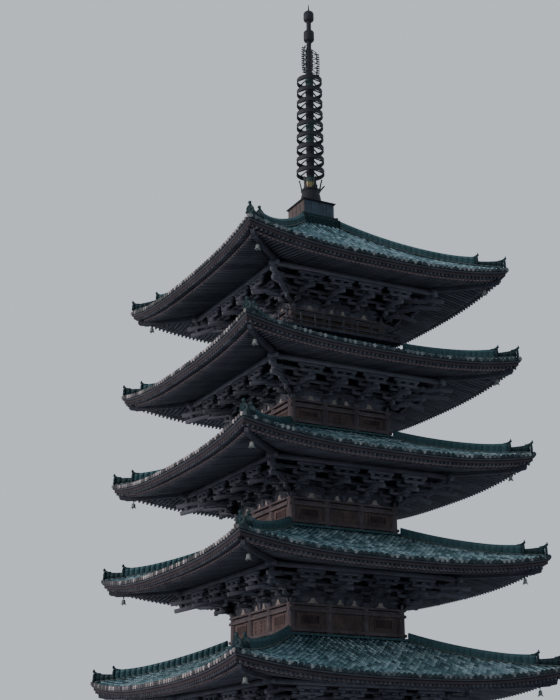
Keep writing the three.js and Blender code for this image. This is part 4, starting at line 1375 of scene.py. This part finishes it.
# %% [markdown]
# On the box stand castings that are threaded on one pole: an upturned bowl, a cup and a brass
# sheath with six narrow petals standing round it, nine rings, four pierced flames, and two
# barrel-shaped finials. The round ones are profiles of a few points, spun round the axis. The
# profiles end on the axis, so every casting is a closed body. A petal is a grid that is bent, then
# given its thickness; a seventh and shorter one has come loose and hangs outwards.

# %% Bowl and lotus
PETALS = 6
PETAL_TURN, LOOSE_TURN = math.radians(27.5), math.radians(336)
PETAL_THICKNESS = 0.035


def casting(name, profile, finish, replaced=(), steps=40):
    """A round casting, from a profile measured above the square box."""
    bm = bmesh.new()
    turned(bm, [(radius, SPIRE_FOOT + z) for radius, z in profile], steps)
    add_piece(name, soften(clean(bm), 0.45), finish, replaced)


bowl = [
    (0, 0), (0.3, 0), (0.305, 0.01), (0.305, 0.045), (0.297, 0.054), (0.295, 0.15), (0.282, 0.25),
    (0.266, 0.33), (0.252, 0.385), (0.245, 0.43), (0, 0.43),
]
cup = [
    (0, 0.4305), (0.24, 0.4305), (0.247, 0.444), (0.266, 0.463), (0.276, 0.476), (0.276, 0.49),
    (0.268, 0.496), (0.17, 0.49), (0, 0.49),
]
sheath = [
    (0, 0.49), (0.169, 0.49), (0.169, 0.53), (0.163, 0.537), (0.163, 0.7), (0.169, 0.706),
    (0.169, 0.722), (0, 0.722),
]
foot_of_rings = [(0, 0.7225), (0.158, 0.7225), (0.158, 0.84), (0.15, 0.858), (0, 0.858)]
casting("spire_inverted_bowl", bowl, bronze, replaced=["spire_bowl"])
casting("lotus_cup", cup, bronze, replaced=["spire_lotus"])
casting("lotus_sheath", sheath, brass)
casting("foot_of_rings", foot_of_rings, green_bronze)


def petal(bm, heading, flare, height):
    """A petal that stands on the rim, wide at its foot and narrow above."""
    grid = bmesh.ops.create_grid(bm, x_segments=4, y_segments=8, size=1)["verts"]
    for v in grid:
        up = (v.co.y + 1) / 2
        half = float(np.interp(up, [0, 0.12, 0.3, 0.85, 1], [0.1, 0.08, 0.034, 0.028, 0.01]))
        out = 0.264 + flare * (0.6 * up + 0.4 * up**2)
        angle = heading + v.co.x * half / out
        v.co = (out * math.cos(angle), out * math.sin(angle), SPIRE_FOOT + 0.45 + height * up)
    bm.normal_update()
    faces = list({f for v in grid for f in v.link_faces})
    bmesh.ops.solidify(bm, geom=faces, thickness=PETAL_THICKNESS)


petals = bmesh.new()
for k in range(PETALS):
    petal(petals, PETAL_TURN + k * math.tau / PETALS, 0.07, 0.37)
petal(petals, LOOSE_TURN, 0.14, 0.19)
add_piece("lotus_petals", soften(clean(petals), 0.8), bronze)
print("petals:", PETALS, "and a loose one")

# %% [markdown]
# Each ring is a flat band, held by eight thin spokes that slope down from a hub. The bands are seen
# from far below, where the near and far edges nearly touch the next ring's, so their height matters
# more than their thickness. Three of the hubs show a greener patina than the rest.

# %% Nine rings
RING_START, RING_PITCH, RINGS = 1.04, 0.361, 9
HUB = 0.12
BAND_HALF = 0.06
SPOKES = 8
GREEN_HUBS = (3, 4, 8)


def ring_band(bm, radius, middle):
    inner, groove, rim = radius - 0.028, radius - 0.006, BAND_HALF - 0.014
    upper = [(groove, rim - 0.004), (radius, rim), (radius, BAND_HALF), (inner, BAND_HALF)]
    band = [(r, -z) for r, z in upper[::-1]] + upper + [(inner, -BAND_HALF)]
    turned(bm, [(r, middle + z) for r, z in band], 48)
    for k in range(SPOKES):
        start, end = (HUB - 0.012, 0, middle + 0.115), (radius - 0.016, 0, middle + 0.01)
        move(bm, quarter_turn((k + 0.5) * 4 / SPOKES), bar(bm, start, end, 0.026, 0.032))


def hub_profile(middle):
    low, high = middle - RING_PITCH / 2 + 0.002, middle + RING_PITCH / 2 - 0.002
    slim = HUB - 0.008
    return [
        (0, low), (HUB, low), (HUB, low + 0.02), (slim, low + 0.03), (slim, middle - 0.05),
        (HUB - 0.002, middle - 0.04), (HUB - 0.002, middle + 0.06), (slim, middle + 0.07),
        (slim, high - 0.03), (HUB, high - 0.02), (HUB, high), (0, high),
    ]


for k in range(RINGS):
    node = f"spire_ring_{k + 1}"
    radius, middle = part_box(node)[1].x, SPIRE_FOOT + RING_START + k * RING_PITCH
    band_bm, hub_bm = bmesh.new(), bmesh.new()
    ring_band(band_bm, radius, middle)
    turned(hub_bm, hub_profile(middle), 24)
    add_piece(f"nine_rings_{k + 1}", soften(clean(band_bm), 0.5), bronze, [node])
    finish = green_bronze if k in GREEN_HUBS else bronze
    add_piece(f"ring_hub_{k + 1}", soften(clean(hub_bm), 0.5), finish)

# %% [markdown]
# Above the rings stand four pierced flames, thin castings like lace: an outer stem set with short
# spikes, and behind it tendrils that zigzag between stem and pole, with sky showing between them.
# The right one is the widest, and the left and back ones stand a little higher. Every strand is a
# flat bar between two points of the fin's own plane, so the fin is drawn as a jeweller would,
# strand by strand, and then turned to its side of the pole.

# %% Four flames
POLE = 0.08
SPIKE_PITCH = 0.075
# Stem's distance, spikes' length, foot and head above the square box: right, back, left, front
FLAMES = [
    (0.256, 0.085, 4.15, 4.97), (0.15, 0.07, 4.2, 5.07),
    (0.17, 0.078, 4.2, 5.07), (0.15, 0.07, 4.15, 4.92),
]


def strand(bm, start, end, width=0.012, height=0.02):
    """A bar in the fin's plane, between two places outwards and up."""
    bar(bm, (start[0], 0, start[1]), (end[0], 0, end[1]), width, height)


def flame_fin(bm, stem, spike, low, high):
    places = []
    for share in np.linspace(0, 1, round((high - low) / SPIKE_PITCH) + 1):
        inwards = 0.035 * (2 * share - 1) ** 4
        places.append((stem - inwards, SPIRE_FOOT + low + share * (high - low)))
    for k, ((inner, foot), (outer, head)) in enumerate(zip(places, places[1:])):
        strand(bm, (inner, foot - 0.004), (outer, head + 0.004), 0.016, 0.03)
        rising, falling = (foot, head) if k % 2 else (head, foot)
        strand(bm, (POLE - 0.02, rising), (outer, falling))
        strand(bm, (inner, foot), (inner + spike, foot + 0.01), 0.022, 0.038)
        if k % 3 == 1:
            block(bm, (POLE - 0.01, -0.012, foot - 0.025), (POLE + 0.03, 0.012, foot + 0.025))
    (base, foot), (crown, top) = places[0], places[-1]
    strand(bm, (crown + 0.02, top - 0.01), (POLE - 0.01, top + 0.06))
    strand(bm, (base, foot), (POLE - 0.01, foot - 0.03))


fins = bmesh.new()
for quarter, flame in enumerate(FLAMES):
    before = set(fins.verts)
    flame_fin(fins, *flame)
    move(fins, quarter_turn(quarter), [v for v in fins.verts if v not in before])
add_piece("flame_fins", fins, bronze)
flame_pole = [
    (0, 4.11), (0.11, 4.11), (0.11, 4.13), (POLE, 4.15), (POLE, 4.86), (0.09, 4.87), (0.09, 4.9),
    (0.068, 4.92), (0.066, 5.149), (0, 5.149),
]
casting("flame_pole", flame_pole, bronze, replaced=["water_flames"], steps=24)
print("flames:", len(FLAMES), "round a pole of", POLE, "m radius")

# %% [markdown]
# Both finials are barrels with rounded shoulders on a slim neck, and the upper one ends in a cone
# and a needle. They are spun from profiles like the other castings.

# %% Finials
NECK = 0.07
SHOULDER_RADIUS = 0.075


def barrel_profile(foot, low, high, radius):
    """A neck, then a barrel with rounded shoulders."""
    arc = [k * math.pi / 10 for k in range(6)]
    soft = SHOULDER_RADIUS
    middle = radius - soft
    lower = [(middle + soft * math.sin(a), low + soft - soft * math.cos(a)) for a in arc]
    upper = [(middle + soft * math.cos(a), high - soft + soft * math.sin(a)) for a in arc]
    return [(0, foot), (NECK, foot), (NECK, low)] + lower + upper


car_low, car_high = (corner.z - SPIRE_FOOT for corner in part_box("dragon_car"))
car_top = car_high - 0.036
car = barrel_profile(car_low, car_low + 0.098, car_top, 0.155)
car += [(NECK, car_top), (NECK, car_high), (0, car_high)]
casting("spire_dragon_car", car, bronze, replaced=["dragon_car"], steps=32)
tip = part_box("sacred_jewel")[1].z - SPIRE_FOOT
jewel = barrel_profile(car_high + 0.001, 5.925, 6.24, 0.152)
jewel += [(0.034, 6.25), (0.028, 6.29), (0.02, 6.35), (0.01, tip - 0.01), (0, tip)]
casting("spire_jewel", jewel, bronze, replaced=["sacred_jewel"], steps=32)
print("spire tip at", round(tip, 2), "m above its box")

# %% [markdown]
# A wind bell hangs under the end of each hip: a square cast bell whose sides end in arches, so that
# its corners flare out like feet, and a ring on top that rides on a pin. Three of them hang free,
# each on its own body, and the rest are still. One is missing, as in the photograph. The bell
# starts as a small square grid whose rim is extruded down; the last row is pulled up in the middle
# of each side, and the skin is then given its thickness.

# %% Wind bells
BELL_IN = 0.48
PIN_DROP = 0.048
BELL_TOP, BELL_TOP_HALF = -0.026, 0.016
BELL_ROWS = [(0.023, -0.03), (0.032, -0.046), (0.037, -0.11), (0.044, -0.14), (0.059, -0.17)]
BELL_SKIN = 0.006
ARCH = 0.044
# Roof and hip, each counted from 0. Hip 0 is at the back right, 1 at the back left, 2 at the front left
HUNG = {(4, 2): "top_roof_front_bell", (4, 1): "top_roof_left_bell", (3, 2): "fourth_roof_front_bell"}
MISSING = (3, 1)


def bell_cup(bm):
    bmesh.ops.create_grid(bm, x_segments=4, y_segments=4, size=1)
    width = BELL_TOP_HALF
    bmesh.ops.scale(bm, vec=(width, width, 1), verts=bm.verts[:])
    move(bm, at(z=BELL_TOP))
    rim = [e for e in bm.edges if e.is_boundary]
    for half, height in BELL_ROWS:
        made = bmesh.ops.extrude_edge_only(bm, edges=rim)["geom"]
        row = [g for g in made if isinstance(g, bmesh.types.BMVert)]
        rim = [g for g in made if isinstance(g, bmesh.types.BMEdge) and g.is_boundary]
        bmesh.ops.scale(bm, vec=(half / width, half / width, 1), verts=row)
        for v in row:
            v.co.z = height
        width = half
    for v in row:
        middle = max(0, 1 - min(abs(v.co.x), abs(v.co.y)) / width)
        v.co.z += ARCH * middle**0.8
        v.co.xy *= 1 - 0.12 * middle
    bmesh.ops.recalc_face_normals(bm, faces=bm.faces[:])
    bmesh.ops.solidify(bm, geom=bm.faces[:], thickness=BELL_SKIN)


def wind_bell():
    """A bell that hangs from the origin, its pin along y."""
    bm = bmesh.new()
    bell_cup(bm)
    ring = bmesh.ops.create_circle(bm, segments=6, radius=0.0027)["verts"]
    move(bm, quarter_turn(1, "Y"), ring)
    move(bm, at(z=0.0086), ring)
    geom = ring + list({e for v in ring for e in v.link_edges})
    bmesh.ops.spin(
        bm, geom=geom, axis=(0, 1, 0), cent=(0, 0, 0), angle=math.tau, steps=12, use_merge=True
    )
    block(bm, (-0.004, -0.003, -0.028), (0.004, 0.003, -0.0105))
    tube(bm, [(0, 0, -0.03), (0, 0, -0.112)], [0.003, 0.003], 6)
    bmesh.ops.create_icosphere(bm, subdivisions=1, radius=0.013, matrix=at(z=-0.116))
    return soften(clean(bm), 0.7)


def bell_hook():
    """Two cheeks and a pin, above the place where a bell hangs."""
    bm = bmesh.new()
    for y in (-0.015, 0.015):
        block(bm, (-0.009, y - 0.003, -0.009), (0.009, y + 0.003, 0.06))
    tube(bm, [(0, -0.018, 0), (0, 0.018, 0)], [0.005, 0.005], 10)
    block(bm, (-0.014, -0.024, PIN_DROP - 0.012), (0.014, 0.024, PIN_DROP + 0.02))
    return clean(bm)


bell_shape, hook_shape = wind_bell(), bell_hook()
still, hooks = [], []
for storey in range(len(STOREYS)):
    half = eave_half[storey] - BELL_IN
    height = hip_height(storey, half) - HIP_DROP - PIN_DROP
    for quarter in range(4):
        if (storey, quarter) == MISSING:
            continue
        place = at_hip(quarter, half, height)
        hooks.append(place)
        if (storey, quarter) in HUNG:
            name = HUNG[storey, quarter]
            cast = [moved(bell_shape, [place])]
            add_piece(f"{name}_cast", cast, bell_bronze, [name], body=name)
        else:
            still.append(place)
add_piece("still_wind_bells", [moved(bell_shape, still)], bell_bronze)
add_piece("bell_hooks", [moved(hook_shape, hooks)], iron)
print(len(still), "still bells and", len(HUNG), "that swing")

# %% [markdown]
# The stage is a plain pale floor under soft light, and the camera stands where the photograph was
# taken from: low, to the left of the front, looking up. Its place, turn and focal length were fitted
# to the corners of the roofs and of the square box, and to the spire's axis. A soft, slightly warm
# sun comes from the left, as in the photograph, and the sky fills the rest.

# %% Floor, light and camera
CAMERA_PLACE = (-16.6, -29.85, 0.627)
CAMERA_YAW, CAMERA_PITCH, CAMERA_ROLL = 0.482, 0.33, -0.004
FOCAL_PIXELS = 1351.5
PICTURE_HEIGHT = 700


def add_object(name, content):
    made = bpy.data.objects.new(name, content)
    bpy.context.collection.objects.link(made)
    return made


floor_bm = bmesh.new()
bmesh.ops.create_grid(floor_bm, x_segments=1, y_segments=1, size=400)
floor_mesh = bpy.data.meshes.new("floor")
floor_bm.to_mesh(floor_mesh)
floor_mesh.materials.append(plain("floor_paint", (0.82, 0.83, 0.84), (0.86, 0.87, 0.88), 0.5, 0.95))
floor = add_object("floor", floor_mesh)
floor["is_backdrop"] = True

world = bpy.data.worlds.new("soft_sky")
world.use_nodes = True
sky = world.node_tree.nodes["Background"].inputs
sky["Color"].default_value = (0.84, 0.91, 1.0, 1)
sky["Strength"].default_value = 0.75
bpy.context.scene.world = world
sun = bpy.data.lights.new("soft_sun", "SUN")
sun.energy = 3.4
sun.color = (1.0, 0.83, 0.78)
sun.angle = math.radians(26)
add_object("soft_sun", sun).rotation_euler = (0, math.radians(-84), math.radians(-12))

lens = bpy.data.cameras.new("camera")
lens.sensor_width = 36
lens.lens = FOCAL_PIXELS * lens.sensor_width / PICTURE_HEIGHT
lens.clip_end = 500
camera = add_object("camera", lens)
camera.location = CAMERA_PLACE
look = Matrix.Rotation(-CAMERA_YAW, 4, "Z") @ Matrix.Rotation(math.pi / 2 + CAMERA_PITCH, 4, "X")
camera.rotation_euler = (look @ Matrix.Rotation(CAMERA_ROLL, 4, "Z")).to_euler()
bpy.context.scene.camera = camera
print("camera at", CAMERA_PLACE, "with a lens of", round(lens.lens, 1), "mm")

# %% Sizes of the dressed model
low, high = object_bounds()
print("dressed:", [round(v, 3) for v in (*low, *high)])
